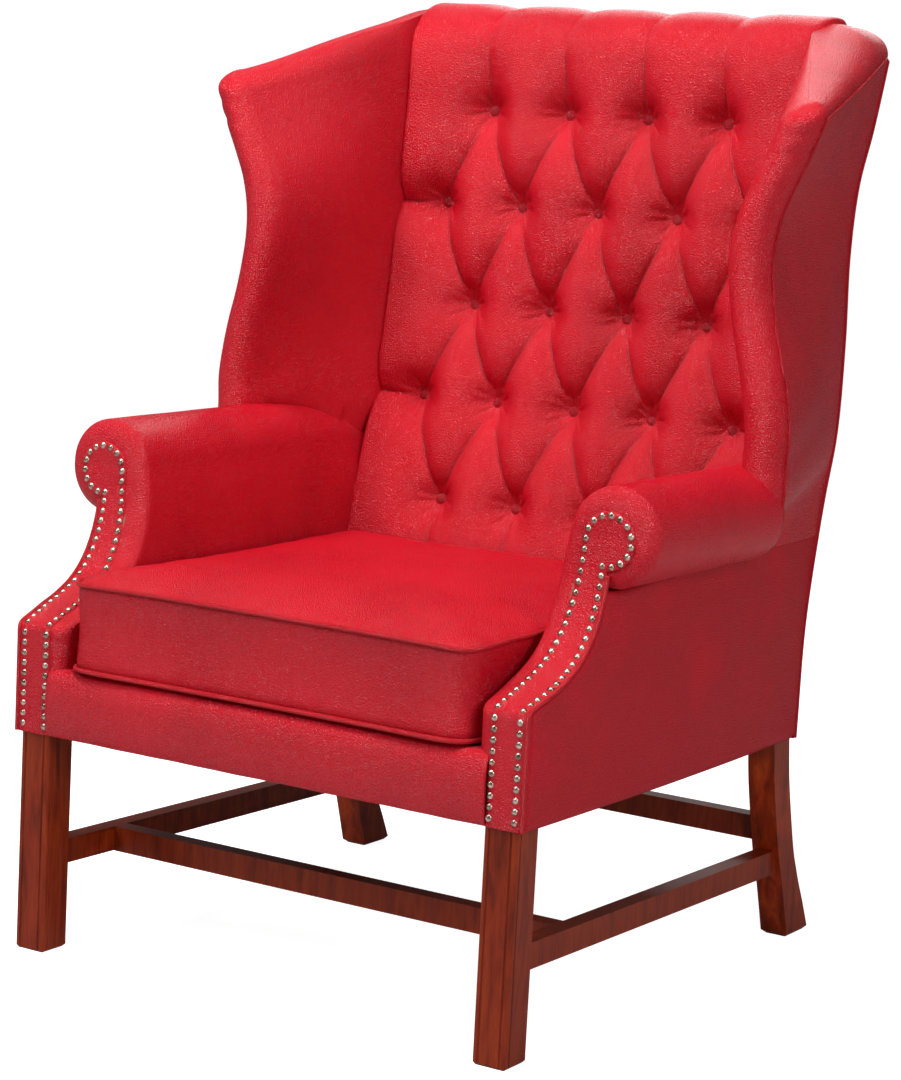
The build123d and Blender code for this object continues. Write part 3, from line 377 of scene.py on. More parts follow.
# The dark colour on the edges is painted shade
woodLook = {"dark": (0.2, 0.015, 0.003), "color": (0.46, 0.042, 0.007), "pale": (0.62, 0.078, 0.013),
            "pore": (0.05, 0.012, 0.006), "edgeShade": (0.06, 0.01, 0.005), "dirt": (0.02, 0.006, 0.004),
            "stretch": (9.0, 9.0, 1.1), "breakup": 0.1, "rough": 0.22, "grainRough": 0.2,
            "bump": 0.25, "relief": 0.0004, "shine": 0.14}


def mahoganyMaterial(look):
    material = bpy.data.materials.new("polishedMahogany")
    tree, shader = nodesOf(material)
    coords = addNode(tree, "ShaderNodeTexCoord").outputs["Object"]
    mapping = addNode(tree, "ShaderNodeMapping", [("Vector", coords)], in_Scale=look["stretch"])
    grain = addNode(tree, "ShaderNodeTexNoise", [("Vector", mapping.outputs[0])], in_Scale=9.0, in_Detail=7.0,
                    in_Roughness=0.65, in_Distortion=0.6)
    fibres = addNode(tree, "ShaderNodeTexNoise", [("Vector", mapping.outputs[0])], in_Scale=90.0,
                     in_Detail=3.0)
    edgesAndHollows = placeGroup(tree, wearAndShadeGroup, Breakup=look["breakup"])
    color = ramp(tree, grain.outputs["Fac"],
                 [(0.3, look["dark"]), (0.5, look["color"]), (0.7, look["pale"])])
    # Pores along the fibres, painted shade on the edges and dirt in the hollows
    for mask, share, tint in ((fibres.outputs["Fac"], 0.35, look["pore"]),
                              (edgesAndHollows.outputs["Edge"], 0.5, look["edgeShade"]),
                              (edgesAndHollows.outputs["Hollow"], 0.8, look["dirt"])):
        color = mixColor(tree, mathNode(tree, "MULTIPLY", mask, share), color, tint)
    tree.links.new(color, shader.inputs["Base Color"])
    rough = mathNode(tree, "MULTIPLY_ADD", grain.outputs["Fac"], look["grainRough"], look["rough"])
    tree.links.new(rough, shader.inputs["Roughness"])
    addBump(tree, shader, fibres.outputs["Fac"], look["bump"], look["relief"])
    shader.inputs["Specular IOR Level"].default_value = look["shine"]
    return material


nailLook = {"dark": (0.16, 0.1, 0.07), "color": (0.48, 0.37, 0.3), "pale": (0.74, 0.62, 0.53),
            "rough": 0.14, "tarnishRough": 0.3}


def nailMaterial(look):
    material = bpy.data.materials.new("antiqueNail")
    tree, shader = nodesOf(material)
    coords = addNode(tree, "ShaderNodeTexCoord").outputs["Object"]
    tarnish = addNode(tree, "ShaderNodeTexNoise", [("Vector", coords)], in_Scale=140.0, in_Detail=5.0)
    color = ramp(tree, tarnish.outputs["Fac"],
                 [(0.3, look["dark"]), (0.5, look["color"]), (0.7, look["pale"])])
    tree.links.new(color, shader.inputs["Base Color"])
    rough = mathNode(tree, "MULTIPLY_ADD", tarnish.outputs["Fac"], look["tarnishRough"], look["rough"])
    tree.links.new(rough, shader.inputs["Roughness"])
    shader.inputs["Metallic"].default_value = 1.0
    return material


def threadMaterial(name, color, threads):
    # The stuff inside and underneath: one colour with fine threads or fibres
    material = bpy.data.materials.new(name)
    tree, shader = nodesOf(material)
    coords = addNode(tree, "ShaderNodeTexCoord").outputs["Object"]
    weave = addNode(tree, "ShaderNodeTexWave", [("Vector", coords)], in_Scale=threads, in_Distortion=1.5)
    dark = tuple(c * 0.55 for c in color)
    tree.links.new(mixColor(tree, weave.outputs["Fac"], color, dark), shader.inputs["Base Color"])
    addBump(tree, shader, weave.outputs["Fac"], 1.0, 0.0004)
    shader.inputs["Roughness"].default_value = 0.9
    return material


nailMetal = nailMaterial(nailLook)
slotMaterials = {"mahogany": mahoganyMaterial(woodLook), "nails": nailMetal,
                 "beech": threadMaterial("planedBeech", (0.5, 0.33, 0.18), 30.0),
                 "jute_webbing": threadMaterial("juteWebbing", (0.42, 0.3, 0.16), 260.0),
                 "stuffing": threadMaterial("calico", (0.66, 0.6, 0.5), 400.0),
                 "black_cloth": threadMaterial("blackCloth", (0.02, 0.02, 0.022), 400.0),
                 "leather": redLeather, "leather_panel": shadedPanelLeather, "leather_piping": weltLeather}
slotOfNode = {entry["node"]: entry["material_slot"] for entry in frame["record"]["subparts"]}
for nodeName, nodeObject in frame["nodes"].items():
    nodeObject.data.materials.clear()
    nodeObject.data.materials.append(slotMaterials[slotOfNode[nodeName]])
print("materials made")


# The swept front of the arms, in depth and height, in millimetres

armSizes = {"postTop": 391.0, "setback": 146.0, "rollX": 349.0, "rollZ": 561.0, "rollRadius": 56.0,
            "scrollX": 348.0, "scrollZ": 558.0, "scrollRadius": 32.5, "faceInner": 301.0, "faceOuter": 341.5,
            "bendInner": 308.0, "bendZ": 460.0, "neckInner": 315.0, "neckOuter": 347.5, "neckZ": 405.0,
            "hem": 262.0, "corner": 7.0, "wallX": 284.0, "wallLow": 322.0, "wallHollow": 1.5, "heartX": 325.0,
            "heartLow": 330.0, "heartHigh": 545.0, "sideX": 350.0, "rounding": 17.0, "proud": 3.0,
            "sunk": 1.5, "crown": 1.6, "leather": 4.0, "ripple": 0.5, "rollBack": 450.0, "endGap": 10.0}
# The sweep from the post's top back to the scroll, in shares of the setback and of the rise
sweepShares = [(0.0, 0.0), (0.18, 0.045), (0.46, 0.14), (0.65, 0.235), (0.79, 0.355), (0.90, 0.52),
               (0.97, 0.72), (1.0, 1.0)]


def frontLine():
    # The front's depth against height, from the hem up over the corner of the post and the sweep
    s = armSizes
    rise = s["rollZ"] - s["postTop"]
    corner = s["corner"]
    sweep = [(s["setback"] * u, s["postTop"] + rise * v) for u, v in sweepShares]
    post = [(0.0, z) for z in np.linspace(s["hem"], s["postTop"] - corner, 12)]
    line = smoothLine(post + [(corner * 0.3, s["postTop"] - corner * 0.3)] + sweep[1:], 300)
    top = np.array([(s["setback"], z) for z in np.linspace(s["rollZ"] + 2, s["rollZ"] + 80, 30)])
    return np.vstack([line, top])


armFront = frontLine()


def frontDepth(z):
    return np.interp(z, armFront[:, 1], armFront[:, 0])


def frontNormal(z):
    # The front face's outward direction at a height, in depth and height
    i = np.clip(np.searchsorted(armFront[:, 1], z), 2, len(armFront) - 3)
    run = armFront[i + 2] - armFront[i - 2]
    run = run / np.linalg.norm(run, axis=-1, keepdims=True)
    return np.stack([-run[..., 1], run[..., 0]], axis=-1)


def faceSpan(z):
    # Inner and outer edge of the arm's facing at a height
    s = armSizes
    inner = readOff([(s["hem"], s["faceInner"]), (s["postTop"], s["faceInner"] + 1),
                     (s["bendZ"], s["bendInner"]), (s["scrollZ"] - 12, s["neckInner"])], z)
    outer = readOff([(s["hem"], s["faceOuter"]), (s["postTop"], s["faceOuter"] + 1),
                     (s["neckZ"], s["neckOuter"]), (s["scrollZ"], s["neckOuter"])], z)
    drop = np.clip((z - s["scrollZ"]) / s["scrollRadius"], -1, 1)
    half = s["scrollRadius"] * np.sqrt(1 - drop**2)
    inScroll = np.abs(z - s["scrollZ"]) < s["scrollRadius"]
    above = z > s["scrollZ"]
    lowRound = np.where(above, s["scrollX"] - half, np.minimum(inner, s["scrollX"] - half))
    low = np.where(inScroll, lowRound, inner)
    high = np.where(inScroll, np.maximum(s["scrollX"] + half, np.where(above, 0, outer)), outer)
    return low, high


# How far the facing runs on under the side piping, past the outer line of nails, against height
underPiping = [(262, 3.6), (391, 3.6), (405, 2.2), (500, 2.2), (530, 1.0), (545, 0.0)]


def armFacing(side, tag):
    # The leather face: rows up the post, back over the sweep and round the scroll
    s = armSizes
    top = s["scrollZ"] + s["scrollRadius"]
    rows = evenly(armFront[armFront[:, 1] <= top], 260)
    z = rows[:, 1]
    low, high = faceSpan(z)
    high = high + readOff(underPiping, z)
    across = np.linspace(-1, 1, 25)
    crown = (1 - across**4) * s["crown"]
    normals = frontNormal(z)
    x = (low + high)[:, None] / 2 + (high - low)[:, None] / 2 * across[None, :]
    out = s["proud"] - s["sunk"] + crown[None, :]
    outer = place(x, rows[:, 0:1] + normals[:, 0:1] * out, z[:, None] + normals[:, 1:2] * out)
    under = -s["leather"]
    inner = place(x, rows[:, 0:1] + normals[:, 0:1] * under, z[:, None] + normals[:, 1:2] * under)
    shell("armFacing" + tag, mirrored(outer, side), mirrored(inner, side), material=redLeather,
          replaced=["arm_facing_" + tag.lower()])


def armProfile():
    # The arm's section from the seat up over the roll and down its outside, with its match on the facing
    s = armSizes
    heights = np.linspace(s["wallLow"], s["rollZ"] - 60, 10)
    wall = [(s["wallX"] - s["wallHollow"] * math.sin(math.pi * t), z)
            for t, z in zip(np.linspace(0, 1, 10), heights)]
    arcs = []
    for degrees in np.arange(182, -96, -8.0):
        turn = math.radians(degrees)
        across, up = math.cos(turn), math.sin(turn)
        arcs.append((s["rollX"] + s["rollRadius"] * across, s["rollZ"] + s["rollRadius"] * up))
    line = smoothLine(wall + [(287, s["rollZ"] - 26)] + arcs[1:], 150)
    turns = np.arctan2(line[:, 1] - s["scrollZ"], line[:, 0] - s["scrollX"])
    onScroll = np.stack([s["scrollX"] + s["scrollRadius"] * np.cos(turns),
                         s["scrollZ"] + s["scrollRadius"] * np.sin(turns)], axis=1)
    low, _ = faceSpan(line[:, 1])
    onPost = np.stack([low, line[:, 1]], axis=1)
    firstHalf = np.arange(len(line)) < len(line) // 2
    usePost = firstHalf & (line[:, 1] < s["scrollZ"] - 4)
    return line, np.where(usePost[:, None], onPost, onScroll)


def armPad(side, tag):
    # The stuffed arm, turned back round its front edge to meet the facing
    s = armSizes
    line, match = armProfile()
    along = np.concatenate([np.linspace(0, 1, 12)[:-1], 1 + np.linspace(0, 1, 70)**1.15])
    outside = smoothStep(s["rollX"] - 30, s["rollX"] + 10, line[:, 0])
    wallEnd = outsideDepth(line[:, 1]) - s["endGap"]
    back = wallEnd + (s["rollBack"] - wallEnd) * outside
    rounding = s["rounding"]
    nearMatch = frontDepth(match[:, 1])
    nearFull = np.maximum(frontDepth(line[:, 1]) + rounding, nearMatch + rounding * 0.6)
    outer = np.zeros((len(line), len(along), 3))
    for j, t in enumerate(along):
        if t < 1:
            turn = t * math.pi / 2
            spot = match + (line - match) * math.sin(turn)
            depth = nearMatch + (nearFull - nearMatch) * (1 - math.cos(turn))
        else:
            spot = line
            depth = nearFull + (back - nearFull) * (t - 1)
        ripple = s["ripple"] * np.sin(depth * 0.05 + line[:, 1] * 0.02) * np.sin(line[:, 1] * 0.045 + 1.0)
        outer[:, j] = place(spot[:, 0] + ripple * 0.6, depth, spot[:, 1] + ripple * 0.4)
    heart = place(line[:, 0] * 0 + s["heartX"], 0, np.clip(line[:, 1], s["heartLow"], s["heartHigh"]))
    inner = outer.copy()
    toHeart = heart[:, None, :] - outer
    toHeart[..., 1] = 0
    inner += toHeart / np.linalg.norm(toHeart, axis=-1, keepdims=True) * s["leather"] * mm
    piece = shell("armPad" + tag, mirrored(outer, side), mirrored(inner, side), material=redLeather,
                  replaced=["arm_pad_" + tag.lower()])


# Outside arm panel, with its rounded front edge and a piping along it

panelSizes = {"swell": 4.0, "tuck": 6.0, "back": 649.0, "edge": 7.0, "bulge": 3.0, "bulgeHeight": 262.0,
              "hemRound": 5.0, "hemFall": 3.5, "topRound": 6.0, "topFall": 4.0, "top": 522.0,
              "leather": 4.0}
# The seam under the arm's roll, as depth and height
seamLine = [(178, 503), (214, 505), (267, 511), (459, 518), (649, 521)]
# How far out the piping lies: up the front edge against height, along the seam against depth
edgePiping = [(262, 346.6), (391, 347.0), (405, 350.4), (522, 351.0)]
seamPiping = [(172, 351.0), (300, 352.5), (649, 345.0)]


def outsideSeam(depth):
    return readOff(seamLine, depth)


def outsideArm(side, tag):
    p, s = panelSizes, armSizes
    # The rows lie closer where the front edge turns back over the post
    rows = np.concatenate([np.linspace(s["hem"], 385, 20), np.linspace(388, 420, 16),
                           np.linspace(423, p["top"], 26)])
    columns = np.linspace(0, 1, 80)**1.1
    outer = np.zeros((len(rows), len(columns), 3))
    inner = outer.copy()
    for i, z in enumerate(rows):
        start = frontDepth(z) - 1.0
        depth = start + (outsideDepth(z) - 1.5 - start) * columns
        zHere = np.minimum(z, outsideSeam(depth))
        t = depth / p["back"]
        x = s["sideX"] + p["swell"] * 4 * t * (1 - t) - p["tuck"] * t**3
        upward = math.sin(math.pi * (z - s["hem"]) / p["bulgeHeight"])**0.6
        x += p["bulge"] * np.sqrt(np.sin(math.pi * np.clip(t, 0, 1))) * upward
        x = x - p["edge"] * 0.8 * roundOver(depth - start, p["edge"])
        x = x - p["hemFall"] * roundOver(z - s["hem"], p["hemRound"])
        x = x - p["topFall"] * roundOver(outsideSeam(depth) - zHere, p["topRound"])
        outer[i] = place(x, depth, zHere)
        setIn = 2 * (1 - np.clip((depth - start) / p["edge"], 0, 1))
        inner[i] = place(x - p["leather"], depth + setIn, zHere)
    shell("outsideArm" + tag, mirrored(outer, side), mirrored(inner, side), material=shadedPanelLeather,
          slotName="leather_panel", replaced=["outside_arm_" + tag.lower()])
    edge = armFront[armFront[:, 1] < p["top"]]
    normals = frontNormal(edge[:, 1])
    line = place(readOff(edgePiping, edge[:, 1]), edge[:, 0] + normals[:, 0] * 1.2,
                 edge[:, 1] + normals[:, 1] * 1.2)
    piping("sidePiping" + tag, evenly(mirrored(line, side), 140), "side")
    seamDepth = np.linspace(seamPiping[0][0], p["back"], 90)
    line = place(readOff(seamPiping, seamDepth), seamDepth, outsideSeam(seamDepth) + 1)
    piping("armSeam" + tag, mirrored(line, side), "seam")


# Front border over the rail, softly rolled, with puckers at its ends

borderSizes = {"half": 301.0, "puckerDepth": 0.3, "puckerReach": 9.0}
borderLine = [(0, 262), (-4, 263), (-7.5, 275), (-9.5, 300), (-8.5, 322), (-4, 335), (4, 341), (14, 341.5),
              (26, 341)]


def frontBorder():
    b = borderSizes
    profile = smoothLine(borderLine, 60)
    across = np.linspace(-b["half"], b["half"], 240)
    puff = 1 - b["puckerDepth"] * np.exp(-((b["half"] - np.abs(across)) / b["puckerReach"]))
    ripple = 0.35 * np.sin(across * 0.043) + 0.25 * np.sin(across * 0.11 + 1.3)
    depth = profile[None, :, 0] * puff[:, None] + ripple[:, None] * 0.5
    outer = place(across[:, None], depth, profile[None, :, 1] + ripple[:, None] * 0.3)
    inner = outer + np.array([0, 0.003, -0.001])
    inner[:, :20, 2] = outer[:, :20, 2]      # the hem's rows stay level
    piece = shell("frontBorder", outer, inner, material=redLeather, replaced=["front_border"])


# The deep-buttoned back

backSizes = {"half": 288.0, "pitch": 113.7, "puff": 40.0, "pleat": 19.0, "crestPleat": 33.0, "reach": 52.0,
             "pit": 25.0, "sag": 0.25, "blend": 9.0, "edge": 9.0, "foot": 60.0, "turnIn": 40.0, "ripple": 0.5,
             "wrinkle": 0.75, "wrinkleAt": 19.0, "wrinkleWidth": 11.0, "leather": 4.0}
# The back's face from behind the cushion up over the crest, as depth and height
backLine = [(569, 343.5), (577, 348), (588, 364), (602, 420), (620, 500), (655, 629), (678, 751), (690, 880),
            (702, 1001), (706, 1062), (712, 1084), (728, 1096), (748, 1099), (768, 1096), (784, 1089),
            (790, 1082)]
buttonRows = [(1001, 4), (880, 5), (751, 4), (629, 5), (500, 4)]      # height and number of buttons


def backGrid():
    # The back's line, how far along it each point lies, and the outward direction there
    line = smoothLine(backLine, 420)
    run = lengthAlong(line)
    normals = np.gradient(line, axis=0)
    normals /= np.linalg.norm(normals, axis=1)[:, None]
    normals = np.stack([-normals[:, 1], normals[:, 0]], axis=1)
    return line, run, normals


def buttonPlaces(line, run):
    # Buttons as places across and along the back's line
    frontPart = line[:, 1].argmax()
    rows = []
    for z, count in buttonRows:
        s = np.interp(z, line[:frontPart, 1], run[:frontPart])
        rows.append([((i - (count - 1) / 2) * backSizes["pitch"], s) for i in range(count)])
    return rows


def pleatLines(rows, run):
    # Pleats join each button to its neighbours above and below, then run to the edges
    b = backSizes
    pleats = []
    for upper, lower in zip(rows, rows[1:]):
        for p in upper:
            pleats += [(p, q) for q in lower if abs(abs(p[0] - q[0]) - b["pitch"] / 2) < 1]
    pleats += [((x, s), (x, run[-1])) for x, s in rows[0]]
    pleats += [((x, s), (x, run[0])) for x, s in rows[-1]]
    for row in (rows[1], rows[3]):
        for x, s in (row[0], row[-1]):
            pleats.append(((x, s), (math.copysign(b["half"] + 6, x), s + 3)))
    return pleats


def insideBack():
    b = backSizes
    line, run, normals = backGrid()
    rows = buttonPlaces(line, run)
    xs = np.linspace(-b["half"] - 1, b["half"] + 1, 300)
    gridX, gridS = np.meshgrid(xs, run)
    # Distances to the pleats, blended so that each tuft is round on top
    nearness = np.zeros(gridX.shape)
    for (x0, s0), (x1, s1) in pleatLines(rows, run):
        dx, ds = x1 - x0, s1 - s0
        t = np.clip(((gridX - x0) * dx + (gridS - s0) * ds) / (dx * dx + ds * ds), 0, 1)
        nearness += np.exp(-np.hypot(gridX - x0 - t * dx, gridS - s0 - t * ds) / b["blend"])
    near = np.maximum(-b["blend"] * np.log(nearness + 1e-12), 0)
    pit = np.ones(gridX.shape)
    wrinkle = np.zeros(gridX.shape)
    for k, (x, s) in enumerate(p for row in rows for p in row):
        away = np.hypot(gridX - x, gridS - s)
        pit *= 1 - np.exp(-(away / b["pit"])**1.5)
        turn = np.arctan2(gridS - s, gridX - x)
        folds = np.sin(turn * 9 + k) + 0.6 * np.sin(turn * 15 + 2.1 * k)
        wrinkle += np.exp(-((away - b["wrinkleAt"]) / b["wrinkleWidth"])**2) * folds
    swell = np.sin(math.pi / 2 * np.clip(near / b["reach"], 0, 1))**0.68
    edge = 1 - roundOver(b["half"] + 1 - np.abs(gridX), b["edge"])
    low = smoothStep(run[0], run[0] + b["foot"], gridS)
    topRow = rows[0][0][1]
    side = 0.62 + 0.25 * smoothStep(topRow + 30, topRow + 90, gridS)
    overTop = smoothStep(run[-1], run[-1] - b["turnIn"], gridS)
    overCrest = smoothStep(topRow + 30, topRow + 95, gridS)
    pleat = b["pleat"] + (b["crestPleat"] - b["pleat"]) * overCrest
    height = pit * (pleat + (b["puff"] - pleat) * swell) * (side + (1 - side) * edge) * (0.4 + 0.6 * low)
    height = height * (0.2 + 0.8 * overTop) + b["wrinkle"] * wrinkle
    height += b["ripple"] * np.sin(gridX * 0.047 + gridS * 0.021) * np.sin(gridS * 0.033)
    sag = height * b["sag"] * smoothStep(topRow + 70, topRow + 10, gridS)
    # The tufts swell out along the normal and sag down along the line
    outer = place(gridX, line[:, 0:1] + normals[:, 0:1] * height - normals[:, 1:2] * sag,
                  line[:, 1:2] + normals[:, 1:2] * height + normals[:, 0:1] * sag)
    sunk = normals * b["leather"]
    inner = place(gridX, line[:, 0:1] - sunk[:, 0:1], line[:, 1:2] - sunk[:, 1:2])
    piece = shell("insideBack", outer, inner, material=redLeather, replaced=["inside_back"])
    spots, facings = [], []
    for row in rows:
        for x, s in row:
            y, z = (np.interp(s, run, line[:, k]) for k in (0, 1))
            n = np.array([np.interp(s, run, normals[:, k]) for k in (0, 1)])
            spots.append(place(x, y + n[0] * 0.4, z + n[1] * 0.4))
            facings.append((0, n[0], n[1]))
    return spots, facings


# Studs: dome nails and covered buttons, set out on points by one node tree

def studTree():
    tree = bpy.data.node_groups.new("studs", "GeometryNodeTree")
    tree.interface.new_socket("Geometry", in_out="INPUT", socket_type="NodeSocketGeometry")
    sizes = {}
    for label, value in (("Radius", 0.004), ("Height", 0.0025), ("Rings", 7), ("Sides", 16), ("Seed", 3)):
        kind = "NodeSocketInt" if isinstance(value, int) else "NodeSocketFloat"
        socket = tree.interface.new_socket(label, in_out="INPUT", socket_type=kind)
        socket.default_value = value
        sizes[label] = socket.identifier
    finish = tree.interface.new_socket("Finish", in_out="INPUT", socket_type="NodeSocketMaterial")
    sizes["Finish"] = finish.identifier
    tree.interface.new_socket("Geometry", in_out="OUTPUT", socket_type="NodeSocketGeometry")
    start, end = tree.nodes.new("NodeGroupInput"), tree.nodes.new("NodeGroupOutput")
    dome = addNode(tree, "GeometryNodeMeshUVSphere",
                   [("Segments", start.outputs["Sides"]), ("Rings", start.outputs["Rings"])], in_Radius=1.0)
    flat = addNode(tree, "ShaderNodeCombineXYZ",
                   [("X", start.outputs["Radius"]), ("Y", start.outputs["Radius"]),
                    ("Z", start.outputs["Height"])])
    facing = addNode(tree, "GeometryNodeInputNamedAttribute", data_type="FLOAT_VECTOR", in_Name="facing")
    turn = addNode(tree, "FunctionNodeAlignRotationToVector", [("Vector", facing.outputs["Attribute"])],
                   axis="Z")
    spread = addNode(tree, "FunctionNodeRandomValue", [("Seed", start.outputs["Seed"])], data_type="FLOAT")
    spread.inputs["Min"].default_value, spread.inputs["Max"].default_value = 0.93, 1.06
    size = addNode(tree, "ShaderNodeVectorMath", [(0, flat.outputs[0])], operation="SCALE")
    tree.links.new(spread.outputs[1], size.inputs["Scale"])
    setOut = addNode(tree, "GeometryNodeInstanceOnPoints",
                     [("Points", start.outputs["Geometry"]), ("Instance", dome.outputs["Mesh"]),
                      ("Rotation", turn.outputs[0]), ("Scale", size.outputs[0])])
    real = addNode(tree, "GeometryNodeRealizeInstances", [("Geometry", setOut.outputs[0])])
    smooth = addNode(tree, "GeometryNodeSetShadeSmooth", [("Geometry", real.outputs[0])])
    painted = addNode(tree, "GeometryNodeSetMaterial",
                      [("Geometry", smooth.outputs[0]), ("Material", start.outputs["Finish"])])
    tree.links.new(painted.outputs[0], end.inputs[0])
    return tree, sizes


studs, studSockets = studTree()


def setStuds(name, spots, facings, sizes, finish, replaced):
    # One dome on each spot, turned to its facing, made a plain mesh
    mesh = bpy.data.meshes.new(name + "Points")
    mesh.from_pydata([tuple(p) for p in spots], [], [])
    facing = mesh.attributes.new("facing", "FLOAT_VECTOR", "POINT")
    facing.data.foreach_set("vector", np.array(facings, float).ravel())
    holder = bpy.data.objects.new(name + "Points", mesh)
    bpy.context.scene.collection.objects.link(holder)
    modifier = holder.modifiers.new("studs", "NODES")
    modifier.node_group = studs
    values = {"Radius": sizes["radius"] * mm, "Height": sizes["height"] * mm, "Rings": sizes["rings"],
              "Sides": sizes["sides"], "Finish": finish}
    for label, value in values.items():
        modifier[studSockets[label]] = value
    bpy.context.view_layer.update()
    made = bpy.data.meshes.new_from_object(holder.evaluated_get(bpy.context.evaluated_depsgraph_get()))
    bpy.data.objects.remove(holder)
    piece = bpy.data.objects.new(name, made)
    bpy.context.scene.collection.objects.link(piece)
    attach(piece, "chair")
    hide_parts(*replaced)
    return piece


nailSizes = {"radius": 4.2, "height": 3.0, "rings": 9, "sides": 18, "pitch": 11.9, "margin": 4.4,
             "first": 271.5}
buttonSizes = {"radius": 7.6, "height": 4.2, "rings": 9, "sides": 22}


def facingNails(side, tag):
    # Two rows up the facing, joined round the scroll
    s, n = armSizes, nailSizes
    line = armFront[armFront[:, 1] >= n["first"]]
    scroll = s["scrollRadius"] - n["margin"]
    startTurn = math.asin((s["neckOuter"] - n["margin"] - s["scrollX"]) / scroll)
    lowZ = s["scrollZ"] - scroll * math.cos(startTurn)
    spots, facings = [], []

    def nailAt(x, depth, z, normal):
        out = s["proud"] - 1.2
        spots.append(place(x, depth + normal[0] * out, z + normal[1] * out) * np.array([side, 1, 1]))
        facings.append((0, normal[0], normal[1]))

    for edge, top in (("inner", s["scrollZ"] - n["pitch"]), ("outer", lowZ - n["pitch"] * 0.8)):
        part = line[line[:, 1] <= top]
        count = round(lengthAlong(part)[-1] / n["pitch"]) + 1
        for depth, z in evenly(part, count):
            low, high = faceSpan(np.array([z]))
            x = low[0] + n["margin"] if edge == "inner" else min(high[0], s["neckOuter"]) - n["margin"]
            nailAt(x, depth, z, frontNormal(np.array([z]))[0])
    count = round((1.5 * math.pi - startTurn) * scroll / n["pitch"])
    for i in range(count + 1):
        turn = startTurn + (1.5 * math.pi - startTurn) * i / count
        z = s["scrollZ"] - scroll * math.cos(turn)
        nailAt(s["scrollX"] + scroll * math.sin(turn), frontDepth(z), z, frontNormal(np.array([z]))[0])
    setStuds("facingNails" + tag, spots, facings, nailSizes, nailMetal,
             ["facing_nails_" + tag.lower()])


# Wings: padding round the front edge and over the top, with the outside leather seamed on

wingSizes = {"front": 420.0, "radius": 28.0, "tilt": 13.5, "inner": 285.0, "top": 1036.0, "low": 440.0,
             "rear": 18.0, "softness": 44.0, "nose": 40.0, "panelLow": 512.0, "sunk": 7.0, "sinkSpread": 9.0,
             "tuckIn": 10.0, "foldAt": 0.46, "foldWidth": 0.06, "foldHeight": 5.0, "gap": 1.5,
             "bulge": 3.5, "hollow": 3.0, "faceAbove": 50.0, "faceBefore": 30.0, "leather": 3.0}
# Height against distance from the middle: the front edge's outermost line, then the rear corner
wingEdge = [(500, 352), (522, 360), (541, 385), (560, 400), (589, 404), (613, 403), (648, 404), (686, 399),
            (720, 392), (758, 382), (792, 375), (829, 370), (864, 370.5), (901, 378), (933, 391), (968, 407),
            (1004, 421), (1040, 430)]
wingCorner = [(440, 344), (560, 344), (635, 345), (743, 337), (850, 326), (936, 324.5), (1003, 332),
              (1100, 339)]
wingCreases = [(974, 1.1), (996, 0.9)]      # height and depth of the short folds at the front corner
# The outside back, as depth and height
outsideLine = [(650, 262), (654, 402), (675, 518), (705, 642), (730, 766), (761, 939), (791, 1088),
               (796, 1120)]
edgeSmooth = smoothLine(wingEdge, 400)
cornerSmooth = smoothLine(wingCorner, 300)
outsideSmooth = smoothLine(outsideLine, 300)


def outsideDepth(z):
    return np.interp(z, outsideSmooth[:, 1], outsideSmooth[:, 0])


